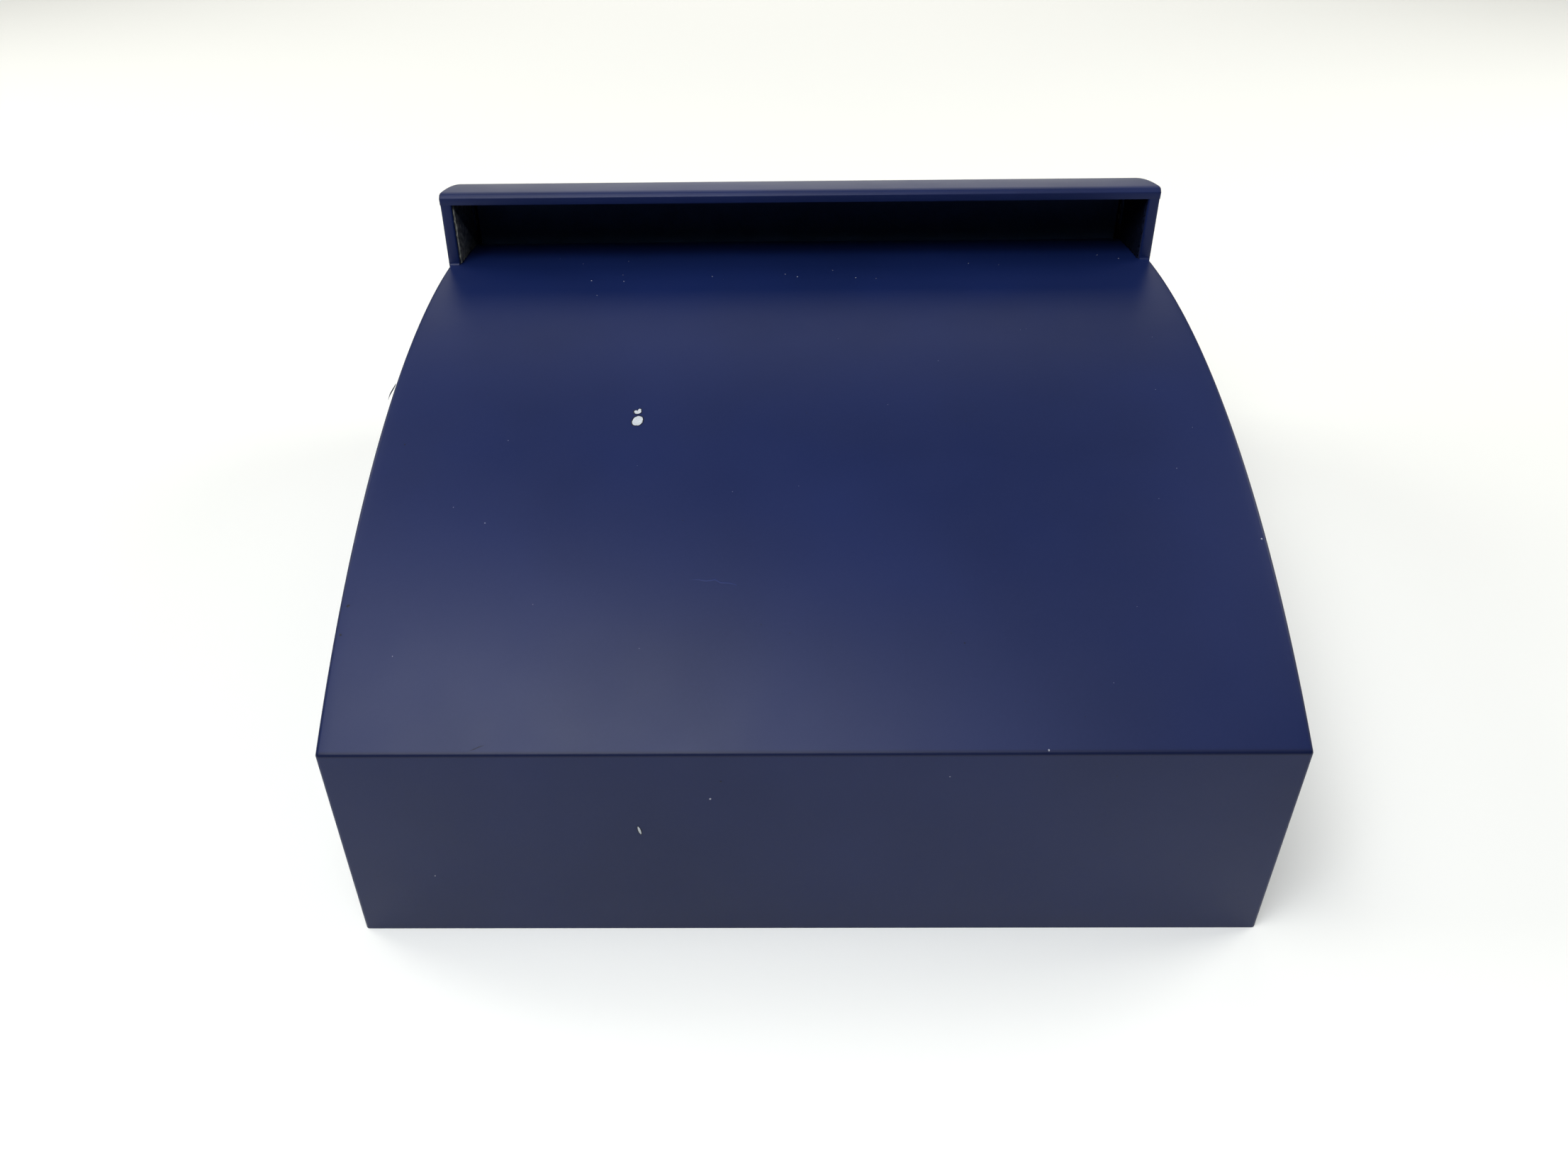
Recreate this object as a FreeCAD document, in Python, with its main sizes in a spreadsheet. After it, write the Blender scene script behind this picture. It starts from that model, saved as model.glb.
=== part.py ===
"""Counter-top book drop box.

A flat-bottomed box of thin lacquered sheet. Its top is one bent sheet, the deck, that rises
from the front and runs on into a hooded slot as the throat's floor. A hanging flap closes the
throat, and the books fall behind it into the box, which is emptied through a locked rear door.

Frame: +X to the right, +Y to the rear, +Z up. The origin is the middle of the box's footprint,
on the surface that it stands on. Outlines are drawn with y counted from the front face, and
every sub-part is moved back by half the depth when it is placed. All sizes are in millimetres.
"""
import FreeCAD, Part
import Sketcher
import math
import os
import re

DIMENSIONS = {
    # Carcass
    "width": (610, "outside width"),
    "depth": (735, "front face to rear face"),
    "sheet": (9.5, "thickness of every carcass sheet"),
    "front_height": (164.2, "height of the front arris"),
    "deck_radius": (859, "outer radius of the bent deck"),
    "deck_crest": (427, "y of the deck arc's centre"),
    "deck_end": (568, "y of the throat floor's rear edge"),
    "hood_face": (497.3, "y of the hood's face"),
    "slot_height": (53, "clear height of the slot at the hood's face"),
    "roof_radius": (420, "outer radius of the roof's bent front"),
    "roof_crest": (442, "y of the roof arc's centre"),
    "roof_pitch": (20.5, "slope of the roof's straight rear, degrees"),
    "header_height": (35, "height of the header over the rear opening"),
    # Rounded arrises
    "arris_round": (2.5, "outer arrises of deck and front"),
    "roof_round": (5, "outer arrises of the roof"),
    "corner_round": (3, "upright front corners"),
    "mitre_round": (1.2, "both lips of the front mitre"),
    "edge_round": (1.5, "bottom, rear and inner edges"),
    # Battens behind the skin
    "batten": (15, "square glue battens"),
    "cleat_depth": (15, "depth of the bent cleats under the deck"),
    "rib_depth": (40, "depth of the centre rib under the deck"),
    "rib_width": (12, "thickness of the centre rib"),
    "rail_width": (20, "front to back size of the throat rail"),
    "rail_height": (28, "height of the throat rail below the deck's end"),
    "batten_rear": (700, "y where the base battens stop"),
    "glue_gap": (1, "room above the corner battens"),
    "cleat_gap": (5, "reach of the opened flap to the roof cleats"),
    # Throat lining and flap
    "liner": (1.5, "thickness of the throat lining"),
    "liner_setback": (4, "hood's face to the lining's front edge"),
    "liner_gap": (0.3, "lining to deck, roof and brackets"),
    "stop_strip": (2, "thickness of the flap's rubber stop"),
    "stop_strip_height": (6, "height of the rubber stop"),
    "stop_strip_drop": (1.8, "top of the rubber stop below the throat floor"),
    "flap_sheet": (3, "thickness of the flap"),
    "flap_gap": (0.3, "stop strip to flap"),
    "flap_overlap": (8, "flap's lower edge below the throat floor"),
    "flap_side_gap": (0.7, "flap to bracket boss, each side"),
    "flap_drop": (5, "flap axis below the roof's underside"),
    "flap_rod_radius": (2, "steel pivot rod"),
    "flap_tube_radius": (3.5, "rolled upper edge of the flap"),
    "bracket_plate": (2.5, "thickness of the rod bracket"),
    "bracket_boss": (1.8, "length of the bracket's boss"),
    "bracket_boss_radius": (4, "radius of the bracket's boss"),
    "bracket_width": (12, "front to back size of the bracket"),
    "bracket_rise": (2.5, "bracket above the flap axis"),
    "bracket_fall": (26, "bracket below the flap axis"),
    "running_clearance": (0.05, "radial clearance of every pivot"),
    # Landing mat
    "mat_width": (430, "width of the landing mat"),
    "mat_front": (440, "y of the mat's front edge"),
    "mat_rear": (705, "y of the mat's rear edge"),
    "mat_thickness": (10, "thickness of the landing mat"),
    "mat_corner": (12, "corner radius of the landing mat"),
    # Holes that hold the box to a counter
    "counter_hole_radius": (3.3, "clear hole for a 6 mm bolt"),
    "counter_hole_x": (240, "counter hole from the centre, across"),
    "counter_hole_y": (230, "counter hole from the centre, front to back"),
    # Door and hinge
    "door_gap": (1.5, "door to carcass on the free edges"),
    "hinge_side_gap": (2, "door to side sheet at the hinge"),
    "hinge_end_gap": (6, "hinge's ends inside the door's ends"),
    "leaf_width": (22, "width of each hinge leaf"),
    "leaf_sheet": (1.2, "thickness of the hinge leaves"),
    "knuckle_radius": (2.75, "outer radius of the hinge's knuckles"),
    "hinge_pin_radius": (1.25, "radius of the hinge pin"),
    "hinge_clearance": (0.3, "knuckles to door, sheet and each other"),
    # Door stop, strike and bumpers
    "stop_width": (20, "door stop batten, across"),
    "stop_depth": (12, "door stop batten, front to back"),
    "bumper_room": (1.5, "door to stop batten"),
    "bumper_thickness": (1.2, "thickness of the rubber bumpers"),
    "bumper_radius": (5, "radius of the rubber bumpers"),
    "bumper_inset": (25, "bumper from the opening's top and bottom"),
    "strike_sheet": (1.2, "thickness of the strike plate"),
    "strike_length": (44, "length of the strike plate"),
    "strike_screw_offset": (15, "strike screw from the lock's axis"),
    # Cam lock
    "lock_z": (135, "height of the lock's axis"),
    "lock_inset": (35, "lock's axis from the side sheet"),
    "lock_radius": (9.5, "radius of the lock's barrel"),
    "lock_flange_radius": (12, "radius of the lock's flange"),
    "lock_flange": (2, "thickness of the lock's flange"),
    "lock_length": (24.5, "barrel's length in front of the door's face"),
    "plug_radius": (6, "radius of the lock's plug"),
    "plug_recess": (0.4, "plug's face below the flange's face"),
    "plug_tail_radius": (3.5, "radius of the plug's tail"),
    "keyway_width": (1.6, "width of the keyway"),
    "keyway_height": (7.5, "height of the keyway"),
    "keyway_depth": (8, "depth of the keyway"),
    "nut_flats": (24, "lock nut across its flats"),
    "nut_thickness": (4, "thickness of the lock nut"),
    "cam_length": (30, "lock's axis to the cam's end"),
    "cam_width": (14, "width of the cam"),
    "cam_sheet": (2, "thickness of the cam"),
    "cam_gap": (0.3, "barrel to cam"),
    # Knob
    "knob_z": (88, "height of the knob's axis"),
    "knob_radius": (14, "radius of the knob's head"),
    "knob_foot_radius": (9, "radius of the knob's foot"),
    "knob_neck_radius": (6, "radius of the knob's neck"),
    "knob_length": (25, "knob's length behind the door"),
    "knob_head": (11, "length of the knob's head"),
    "knob_foot": (3, "length of the knob's foot"),
    "knob_flare": (2, "how far the head's edge runs out on each side of its plane"),
    "knob_round": (4, "rounding of the knob's head"),
    # Screws: each wood screw is a straight shank with a countersunk head
    "base_shank": (1.6, "base screw, radius"),
    "base_length": (18, "base screw, length"),
    "base_head": (3.4, "base screw, radius of the head"),
    "base_cone": (2.2, "base screw, height of the head"),
    "leaf_shank": (1.1, "hinge and strike screw, radius"),
    "leaf_length": (8.5, "hinge and strike screw, length"),
    "leaf_head": (2.4, "hinge and strike screw, radius of the head"),
    "leaf_cone": (1.1, "hinge and strike screw, height of the head"),
    "bracket_shank": (1.2, "bracket screw, radius"),
    "bracket_length": (8, "bracket screw, length"),
    "bracket_head": (2.5, "bracket screw, radius of the head"),
    "bracket_cone": (1.5, "bracket screw, height of the head"),
    "jamb_screw_inset": (16.5, "screws of the jamb's leaf in front of the rear face"),
    "door_screw_inset": (14.3, "screws of the door's leaf from the hinge pin"),
    "leaf_screw_end": (15, "first and last leaf screw from the hinge's ends"),
    "batten_screw_end": (30, "first and last base screw from a side batten's ends"),
    "front_screw_end": (90, "first and last front base screw from the side sheets"),
    "bracket_screw_high": (11, "upper bracket screw below the flap axis"),
    "bracket_screw_low": (20, "lower bracket screw below the flap axis"),
    "cam_screw_radius": (1.5, "cam screw, radius"),
    "cam_screw_length": (7, "cam screw, length under its head"),
    "cam_screw_head_radius": (4.5, "cam screw, radius of the head"),
    "cam_screw_head": (1.8, "cam screw, height of the head"),
    "knob_screw_radius": (2, "knob screw, radius"),
    "knob_screw_grip": (12, "knob screw's length in the knob"),
    "knob_screw_head_radius": (4, "knob screw, radius of the head"),
    "knob_screw_head": (2.2, "knob screw, height of the head"),
}

document = FreeCAD.newDocument("BookDropBox")
sheet = document.addObject("Spreadsheet::Sheet", "Dims")
for row, (alias, (size, meaning)) in enumerate(DIMENSIONS.items(), start=1):
    sheet.set(f"A{row}", meaning)
    sheet.set(f"B{row}", str(size))
    sheet.setAlias(f"B{row}", alias)
document.recompute()

ALIASES = re.compile(r"\b(" + "|".join(DIMENSIONS) + r")\b")
SUBPARTS = []
FRONT = FreeCAD.Vector(0, -1, 0)
REAR = FreeCAD.Vector(0, 1, 0)
LEFT = FreeCAD.Vector(-1, 0, 0)
RIGHT = FreeCAD.Vector(1, 0, 0)
UP = FreeCAD.Vector(0, 0, 1)


# ---------------------------------------------------------------- sizes worked out from the sheet

def formula(text):
    """Expression for FreeCAD: every alias in text becomes a cell of the sheet."""
    return ALIASES.sub(r"Dims.\1", text)


def number(text):
    """Value of a formula now."""
    found = sheet.evalExpression(formula(text))
    return float(getattr(found, "Value", found))


def deck_z(y, below="0"):
    """Height of the deck's top at y, or of the surface that lies so far below it."""
    centre = "(front_height - sqrt(deck_radius ^ 2 - deck_crest ^ 2))"
    return f"({centre} + sqrt((deck_radius - {below}) ^ 2 - ({y} - deck_crest) ^ 2))"


INNER = "(width / 2 - sheet)"
DOOR_PLANE = "(depth - sheet)"
SLOT_TOP = f"({deck_z('hood_face')} + slot_height)"
ROOF_CENTRE = f"({SLOT_TOP} - sqrt((roof_radius - sheet) ^ 2 - (hood_face - roof_crest) ^ 2))"


def roof_bend(below="0"):
    """(y, z) where the roof's arc runs out into its straight rear."""
    y = f"(roof_crest + (roof_radius - {below}) * sin(roof_pitch))"
    z = f"({ROOF_CENTRE} + (roof_radius - {below}) * cos(roof_pitch))"
    return y, z


def roof_arc_z(y, below="0"):
    """Height of the roof's top, or so far below it, on its arc."""
    return f"({ROOF_CENTRE} + sqrt((roof_radius - {below}) ^ 2 - ({y} - roof_crest) ^ 2))"


def roof_z(y, below="0"):
    """Height of the roof's top, or so far below it, on its straight rear."""
    bend_y, bend_z = roof_bend(below)
    return f"({bend_z} - ({y} - {bend_y}) * tan(roof_pitch))"


DOOR_HEAD = f"({roof_z('depth', 'sheet')} - header_height)"
FLAP_Y = "(deck_end + stop_strip + flap_gap + flap_sheet / 2)"
FLAP_Z = f"({roof_arc_z(FLAP_Y, 'sheet')} - flap_drop)"
FLAP_FOOT = f"({deck_z('deck_end')} - flap_overlap)"
FLAP_HALF = f"({INNER} - bracket_plate - bracket_boss - flap_side_gap)"
CLEAT_FRONT = f"({FLAP_Y} + {FLAP_Z} - {FLAP_FOOT} + cleat_gap)"
HINGE_X = f"(knuckle_radius - {INNER})"
HINGE_Y = "(depth + knuckle_radius + hinge_clearance)"
HINGE_FOOT = "(sheet + door_gap + hinge_end_gap)"
HINGE_LENGTH = f"({DOOR_HEAD} - sheet - 2 * door_gap - 2 * hinge_end_gap)"
STOP_PLANE = f"({DOOR_PLANE} - bumper_room)"
LOCK_X = f"({INNER} - lock_inset)"
BARREL_END = "(depth - lock_length)"
CAM_PLANE = f"({BARREL_END} - cam_gap)"

KNUCKLES = 9
NEAR = 0.01
STRAIGHT = 0.99
SIDE_BASE_SCREWS = 4
FRONT_BASE_SCREWS = 3
LEAF_SCREWS = 4


# ---------------------------------------------------------------- ways to make a piece

def keep(item, label):
    """Make a document object one of the box's sub-parts, under its own name."""
    item.Label = label
    SUBPARTS.append(item)
    return item


def place(item, x="0", y="0", z="0"):
    """Bind an object's place to the sheet, with y counted from the front face."""
    for axis, text in (("x", x), ("y", f"{y} - depth / 2"), ("z", z)):
        item.setExpression(f".Placement.Base.{axis}", formula(text))


def origin_plane(body, role):
    """One of the body's own origin planes."""
    return next(plane for plane in body.Origin.OriginFeatures if plane.Role == role)


def new_body(name):
    return document.addObject("PartDesign::Body", name)


def new_sketch(body, role, name):
    """Empty sketch on one of the body's origin planes."""
    sketch = body.newObject("Sketcher::SketchObject", name)
    sketch.AttachmentSupport = [(origin_plane(body, role), "")]
    sketch.MapMode = "FlatFace"
    return sketch


def arc_between(start, end, radius, side):
    """Arc from start to end whose centre lies on the left (side 1) or the right (side -1)."""
    chord = end - start
    middle = (start + end) / 2
    rise = math.sqrt(radius ** 2 - (chord.Length / 2) ** 2)
    left = FreeCAD.Vector(-chord.y, chord.x, 0).normalize()
    centre = middle + left * side * rise
    first, last = (start, end) if side > 0 else (end, start)
    angles = [math.atan2(point.y - centre.y, point.x - centre.x) for point in (first, last)]
    circle = Part.Circle(centre, UP, radius)
    return Part.ArcOfCircle(circle, angles[0], angles[1])


def add_outline(sketch, corners, arcs=None):
    """Add a closed outline, with each corner and radius bound to the sheet.

    corners holds (across, up) formulas. arcs maps a corner's number to the (radius, side) of the
    arc that runs from it to the next corner, and every other run is straight.
    """
    arcs = arcs or {}
    points = [FreeCAD.Vector(number(across), number(up), 0) for across, up in corners]
    runs = []
    for index, start in enumerate(points):
        end = points[(index + 1) % len(points)]
        if index in arcs:
            radius, side = arcs[index]
            curve = sketch.addGeometry(arc_between(start, end, number(radius), side), False)
            constraint = sketch.addConstraint(Sketcher.Constraint("Radius", curve, number(radius)))
            sketch.setExpression(f".Constraints[{constraint}]", formula(radius))
            runs.append((curve, 1, 2) if side > 0 else (curve, 2, 1))
        else:
            runs.append((sketch.addGeometry(Part.LineSegment(start, end), False), 1, 2))
    for index, (curve, first, last) in enumerate(runs):
        after, after_first, _ = runs[(index + 1) % len(runs)]
        sketch.addConstraint(Sketcher.Constraint("Coincident", curve, last, after, after_first))
        for kind, text in zip(("DistanceX", "DistanceY"), corners[index]):
            constraint = sketch.addConstraint(
                Sketcher.Constraint(kind, -1, 1, curve, first, number(text)))
            sketch.setExpression(f".Constraints[{constraint}]", formula(text))


def rectangle(x_low, x_high, y_low, y_high):
    """Corners of a rectangle, counter-clockwise."""
    return [(x_low, y_low), (x_high, y_low), (x_high, y_high), (x_low, y_high)]


def add_circle(sketch, across, up, radius):
    """Add a circle whose centre and radius are bound to the sheet."""
    centre = FreeCAD.Vector(number(across), number(up), 0)
    circle = sketch.addGeometry(Part.Circle(centre, UP, number(radius)), False)
    for kind, reference, text in (("DistanceX", (-1, 1, circle, 3), across),
                                  ("DistanceY", (-1, 1, circle, 3), up),
                                  ("Radius", (circle,), radius)):
        constraint = sketch.addConstraint(Sketcher.Constraint(kind, *reference, number(text)))
        sketch.setExpression(f".Constraints[{constraint}]", formula(text))


def pad(body, sketch, length):
    feature = body.newObject("PartDesign::Pad", f"{body.Name}_pad")
    feature.Profile = sketch
    feature.setExpression("Length", formula(length))
    document.recompute()
    return feature


def pocket(body, sketch, length=None, backwards=False):
    """Cut a sketch out of the body, right through unless a length is given."""
    before = body.Shape.Volume
    feature = body.newObject("PartDesign::Pocket", f"{body.Name}_pocket")
    feature.Profile = sketch
    feature.Reversed = backwards
    if length:
        feature.setExpression("Length", formula(length))
    else:
        feature.Type = "ThroughAll"
    document.recompute()
    if before - body.Shape.Volume < NEAR:
        raise ValueError(f"the pocket in {body.Name} cuts nothing")
    return feature


def bent_sheet(name, corners, arcs, length):
    """Body whose side view is an outline in Y and Z, and which runs across the box along X."""
    body = new_body(name)
    sketch = new_sketch(body, "YZ_Plane", f"{name}_outline")
    add_outline(sketch, corners, arcs)
    pad(body, sketch, length)
    return body


def round_edges(body, radius, chosen):
    """Round the edges of the body for which chosen(edge's middle, its direction) is true."""
    base = body.Tip
    names = []
    for index, edge in enumerate(base.Shape.Edges, start=1):
        middle = edge.valueAt((edge.FirstParameter + edge.LastParameter) / 2)
        along = (edge.Vertexes[-1].Point - edge.Vertexes[0].Point)
        if along.Length and chosen(middle, along.normalize()):
            names.append(f"Edge{index}")
    if not names:
        raise ValueError(f"no edge of {body.Name} to round")
    fillet = body.newObject("PartDesign::Fillet", f"{body.Name}_round")
    fillet.Base = (base, names)
    fillet.setExpression("Radius", formula(radius))
    document.recompute()
    return fillet


def near(value, text):
    """Whether a coordinate is at the place that a formula gives."""
    return abs(value - number(text)) < NEAR


def block(name, x, y, z):
    """Box from (low, high) formulas along each axis."""
    item = document.addObject("Part::Box", name)
    for side, (low, high) in zip(("Length", "Width", "Height"), (x, y, z)):
        item.setExpression(side, formula(f"{high} - ({low})"))
    place(item, x[0], y[0], z[0])
    return item


def cylinder(name, radius, length, x, y, z, towards=None):
    """Cylinder that starts at a point and runs upwards, or along towards."""
    item = document.addObject("Part::Cylinder", name)
    item.setExpression("Radius", formula(radius))
    item.setExpression("Height", formula(length))
    if towards:
        item.Placement.Rotation = FreeCAD.Rotation(UP, towards)
    place(item, x, y, z)
    return item


def fuse(name, items):
    item = document.addObject("Part::MultiFuse", name)
    item.Shapes = items
    item.Refine = True
    return item


def cut(name, base, tools):
    """Base with tools taken out of it."""
    item = document.addObject("Part::Cut", name)
    item.Base = base
    item.Tool = tools[0] if len(tools) == 1 else fuse(f"{name}_tools", tools)
    return item


def screw(kind):
    """Countersunk screw of one kind: its head's face is at the origin and it points along +Z."""
    shank, length, head, cone = (number(f"{kind}_{size}") for size in ("shank", "length", "head", "cone"))
    return Part.makeCylinder(shank, length).fuse(Part.makeCone(head, shank, cone)).removeSplitter()


def screw_group(label, kind, heads, towards):
    """One sub-part of identical screws: towards gives each one's direction from its head."""
    solids = []
    for head, direction in zip(heads, towards):
        solid = screw(kind)
        solid.Placement = FreeCAD.Placement(head, FreeCAD.Rotation(UP, direction))
        solids.append(solid)
    item = document.addObject("Part::Feature", label)
    item.Shape = Part.makeCompound(solids)
    return keep(item, label)


def point(x, y, z):
    """Point in the box's own frame, with y counted from the front face."""
    return FreeCAD.Vector(number(x), number(y) - number("depth / 2"), number(z))


def spaced(low, high, count):
    """Evenly spaced formulas from low to high, both included."""
    return [f"({low} + ({high} - ({low})) * {step} / {count - 1})" for step in range(count)]


# ---------------------------------------------------------------- fasteners

def make_base_screws():
    """Screws from below through the base into the battens."""
    batten_x = f"({INNER} - batten / 2)"
    front_x = f"({INNER} - front_screw_end)"
    heads = [point(x, y, "0") for x in (f"(0 - {batten_x})", batten_x)
             for y in spaced("(sheet + batten_screw_end)", "(batten_rear - batten_screw_end)",
                             SIDE_BASE_SCREWS)]
    heads += [point(x, "(sheet + batten / 2)", "0")
              for x in spaced(f"(0 - {front_x})", front_x, FRONT_BASE_SCREWS)]
    return screw_group("base_screws", "base", heads, [UP] * len(heads))


def make_hinge_screws():
    """Screws of the hinge's two leaves, in the side sheet and in the door."""
    heights = spaced(f"({HINGE_FOOT} + leaf_screw_end)", f"({HINGE_FOOT} + {HINGE_LENGTH} - leaf_screw_end)",
                     LEAF_SCREWS)
    jamb = [point(f"(leaf_sheet - {INNER})", "(depth - jamb_screw_inset)", z) for z in heights]
    door = [point(f"({HINGE_X} + door_screw_inset)", "(depth + leaf_sheet)", z) for z in heights]
    return (screw_group("hinge_jamb_screws", "leaf", jamb, [LEFT] * LEAF_SCREWS),
            screw_group("hinge_door_screws", "leaf", door, [FRONT] * LEAF_SCREWS))


def make_bracket_screws():
    """Screws that hold the flap's brackets to the side sheets."""
    heads = []
    towards = []
    for sign, direction in (("-", LEFT), ("+", RIGHT)):
        for fall in ("bracket_screw_high", "bracket_screw_low"):
            heads.append(point(f"(0 {sign} ({INNER} - bracket_plate))", FLAP_Y, f"({FLAP_Z} - {fall})"))
            towards.append(direction)
    return screw_group("flap_bracket_screws", "bracket", heads, towards)


def make_strike_screws():
    """Screws that hold the strike plate to the door stop."""
    face = f"({STOP_PLANE} - stop_depth - strike_sheet)"
    heads = [point(f"({INNER} - stop_width / 2)", face, f"(lock_z {sign} strike_screw_offset)")
             for sign in ("-", "+")]
    return screw_group("strike_screws", "leaf", heads, [REAR] * len(heads))


# ---------------------------------------------------------------- carcass

def make_side_panel(label, x, outer, inner, tools):
    """Side sheet: bent under the deck in front, and the hood's cheek behind."""
    bend_y, bend_z = roof_bend("sheet")
    corners = [("sheet", "0"), ("depth", "0"), ("depth", roof_z("depth", "sheet")), (bend_y, bend_z),
               ("hood_face", SLOT_TOP), ("hood_face", deck_z("hood_face", "sheet")),
               ("sheet", deck_z("sheet", "sheet"))]
    arcs = {3: ("(roof_radius - sheet)", 1), 5: ("(deck_radius - sheet)", 1)}
    body = bent_sheet(f"{label}_blank", corners, arcs, "sheet")
    low = number(deck_z("hood_face", "sheet"))
    round_edges(body, "arris_round", lambda middle, along: abs(along.z) > STRAIGHT
                and near(middle.y, "hood_face") and near(middle.x, outer) and middle.z > low)
    round_edges(body, "edge_round", lambda middle, along: abs(along.z) > STRAIGHT
                and ((near(middle.y, "hood_face") and near(middle.x, inner) and middle.z > low)
                     or (near(middle.y, "depth") and near(middle.x, outer))))
    place(body, x)
    return keep(cut(label, body, tools), label)


def make_front_panel():
    """Upright front sheet, mitred to the deck at its top."""
    corners = [("0", "0"), ("sheet", "0"), ("sheet", deck_z("sheet", "sheet")), ("0", "front_height")]
    body = bent_sheet("front_panel", corners, None, "width")
    round_edges(body, "corner_round", lambda middle, along: abs(along.z) > STRAIGHT and near(middle.y, "0"))
    round_edges(body, "mitre_round", lambda middle, along: abs(along.x) > STRAIGHT
                and middle.y < number("corner_round") and middle.z > number("front_height / 2"))
    round_edges(body, "edge_round", lambda middle, along: near(middle.z, "0") and abs(along.x) > STRAIGHT
                and near(middle.y, "0"))
    place(body, "-width / 2")
    keep(body, "front_panel")


def make_deck():
    """Bent sheet: full width as far as the hood, then between the cheeks as the throat's floor."""
    corners = [("0", "front_height"), ("sheet", deck_z("sheet", "sheet")),
               ("deck_end", deck_z("deck_end", "sheet")), ("deck_end", deck_z("deck_end"))]
    arcs = {1: ("(deck_radius - sheet)", -1), 3: ("deck_radius", 1)}
    body = bent_sheet("curved_deck", corners, arcs, "width")
    notches = new_sketch(body, "XY_Plane", "deck_notches")
    add_outline(notches, rectangle("-sheet", "sheet", "hood_face", "deck_end + sheet"))
    add_outline(notches, rectangle("width - sheet", "width + sheet", "hood_face", "deck_end + sheet"))
    pocket(body, notches, backwards=True)
    round_edges(body, "arris_round", lambda middle, along: abs(along.x) < NEAR
                and (near(middle.x, "0") or near(middle.x, "width"))
                and near(middle.z, deck_z(str(middle.y))))
    round_edges(body, "mitre_round", lambda middle, along: abs(along.x) > STRAIGHT and near(middle.y, "0"))
    place(body, "-width / 2")
    keep(body, "curved_deck")


def make_roof():
    """Bent sheet over the cheeks: an arc at the lip, then straight down to the rear face."""
    inner_y, inner_z = roof_bend("sheet")
    outer_y, outer_z = roof_bend()
    corners = [("hood_face", SLOT_TOP), (inner_y, inner_z), ("depth", roof_z("depth", "sheet")),
               ("depth", roof_z("depth")), (outer_y, outer_z), ("hood_face", roof_arc_z("hood_face"))]
    arcs = {0: ("(roof_radius - sheet)", -1), 4: ("roof_radius", 1)}
    body = bent_sheet("hood_roof", corners, arcs, "width")
    round_edges(body, "roof_round", lambda middle, along:
                (near(middle.y, "hood_face") and not near(middle.z, SLOT_TOP))
                or ((near(middle.x, "0") or near(middle.x, "width")) and abs(along.y) > abs(along.z)
                    and middle.z > number(roof_z(str(middle.y), "sheet / 2"))
                    and not near(middle.y, "depth")))
    round_edges(body, "mitre_round", lambda middle, along: abs(along.x) > STRAIGHT
                and near(middle.y, "hood_face") and near(middle.z, SLOT_TOP))
    place(body, "-width / 2")
    keep(body, "hood_roof")


def make_base(screws):
    """Base sheet between the front, the sides and the rear opening, drilled for a counter."""
    body = new_body("base_blank")
    sketch = new_sketch(body, "XY_Plane", "base_outline")
    add_outline(sketch, rectangle(f"(0 - {INNER})", INNER, "sheet", "depth"))
    for across in ("-counter_hole_x", "counter_hole_x"):
        for along in ("(depth / 2 - counter_hole_y)", "(depth / 2 + counter_hole_y)"):
            add_circle(sketch, across, along, "counter_hole_radius")
    pad(body, sketch, "sheet")
    place(body)
    keep(cut("base_panel", body, [screws]), "base_panel")


def make_rear_header():
    """Rail that closes the rear between the opening and the roof."""
    corners = [(DOOR_PLANE, DOOR_HEAD), ("depth", DOOR_HEAD), ("depth", roof_z("depth", "sheet")),
               (DOOR_PLANE, roof_z(DOOR_PLANE, "sheet"))]
    body = bent_sheet("rear_header", corners, None, f"2 * {INNER}")
    place(body, f"0 - {INNER}")
    keep(body, "rear_header")


def make_battens(base_screws):
    """Straight glue battens along the base and in the two front corners."""
    inside = f"({INNER} - batten)"
    front = "(sheet + batten)"
    low = ("sheet", "(sheet + batten)")
    for side, x in (("left", (f"(0 - {INNER})", f"(0 - {inside})")), ("right", (inside, INNER))):
        base = block(f"base_batten_{side}_blank", x, ("sheet", "batten_rear"), low)
        keep(cut(f"base_batten_{side}", base, [base_screws]), f"base_batten_{side}")
        top = f"({deck_z('sheet', 'sheet')} - glue_gap)"
        keep(block(f"corner_batten_{side}", x, ("sheet", front), (front, top)), f"corner_batten_{side}")
    base = block("base_batten_front_blank", (f"(0 - {inside})", inside), ("sheet", front), low)
    keep(cut("base_batten_front", base, [base_screws]), "base_batten_front")


def bent_batten(label, drop, thickness, x):
    """Batten that follows the deck's underside from the front battens to the throat rail."""
    front = "(sheet + batten)"
    rear = "(deck_end - rail_width)"
    below = f"(sheet + {drop})"
    corners = [(front, deck_z(front, below)), (rear, deck_z(rear, below)),
               (rear, deck_z(rear, "sheet")), (front, deck_z(front, "sheet"))]
    arcs = {0: (f"(deck_radius - {below})", -1), 2: ("(deck_radius - sheet)", 1)}
    body = bent_sheet(label, corners, arcs, thickness)
    place(body, x)
    keep(body, label)


def make_throat_rail():
    """Cross rail under the throat floor's free edge."""
    front = "(deck_end - rail_width)"
    foot = f"({deck_z('deck_end', 'sheet')} - rail_height)"
    corners = [(front, foot), ("deck_end", foot), ("deck_end", deck_z("deck_end", "sheet")),
               (front, deck_z(front, "sheet"))]
    body = bent_sheet("throat_rail", corners, {2: ("(deck_radius - sheet)", 1)}, f"2 * {INNER}")
    place(body, f"0 - {INNER}")
    keep(body, "throat_rail")


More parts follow.
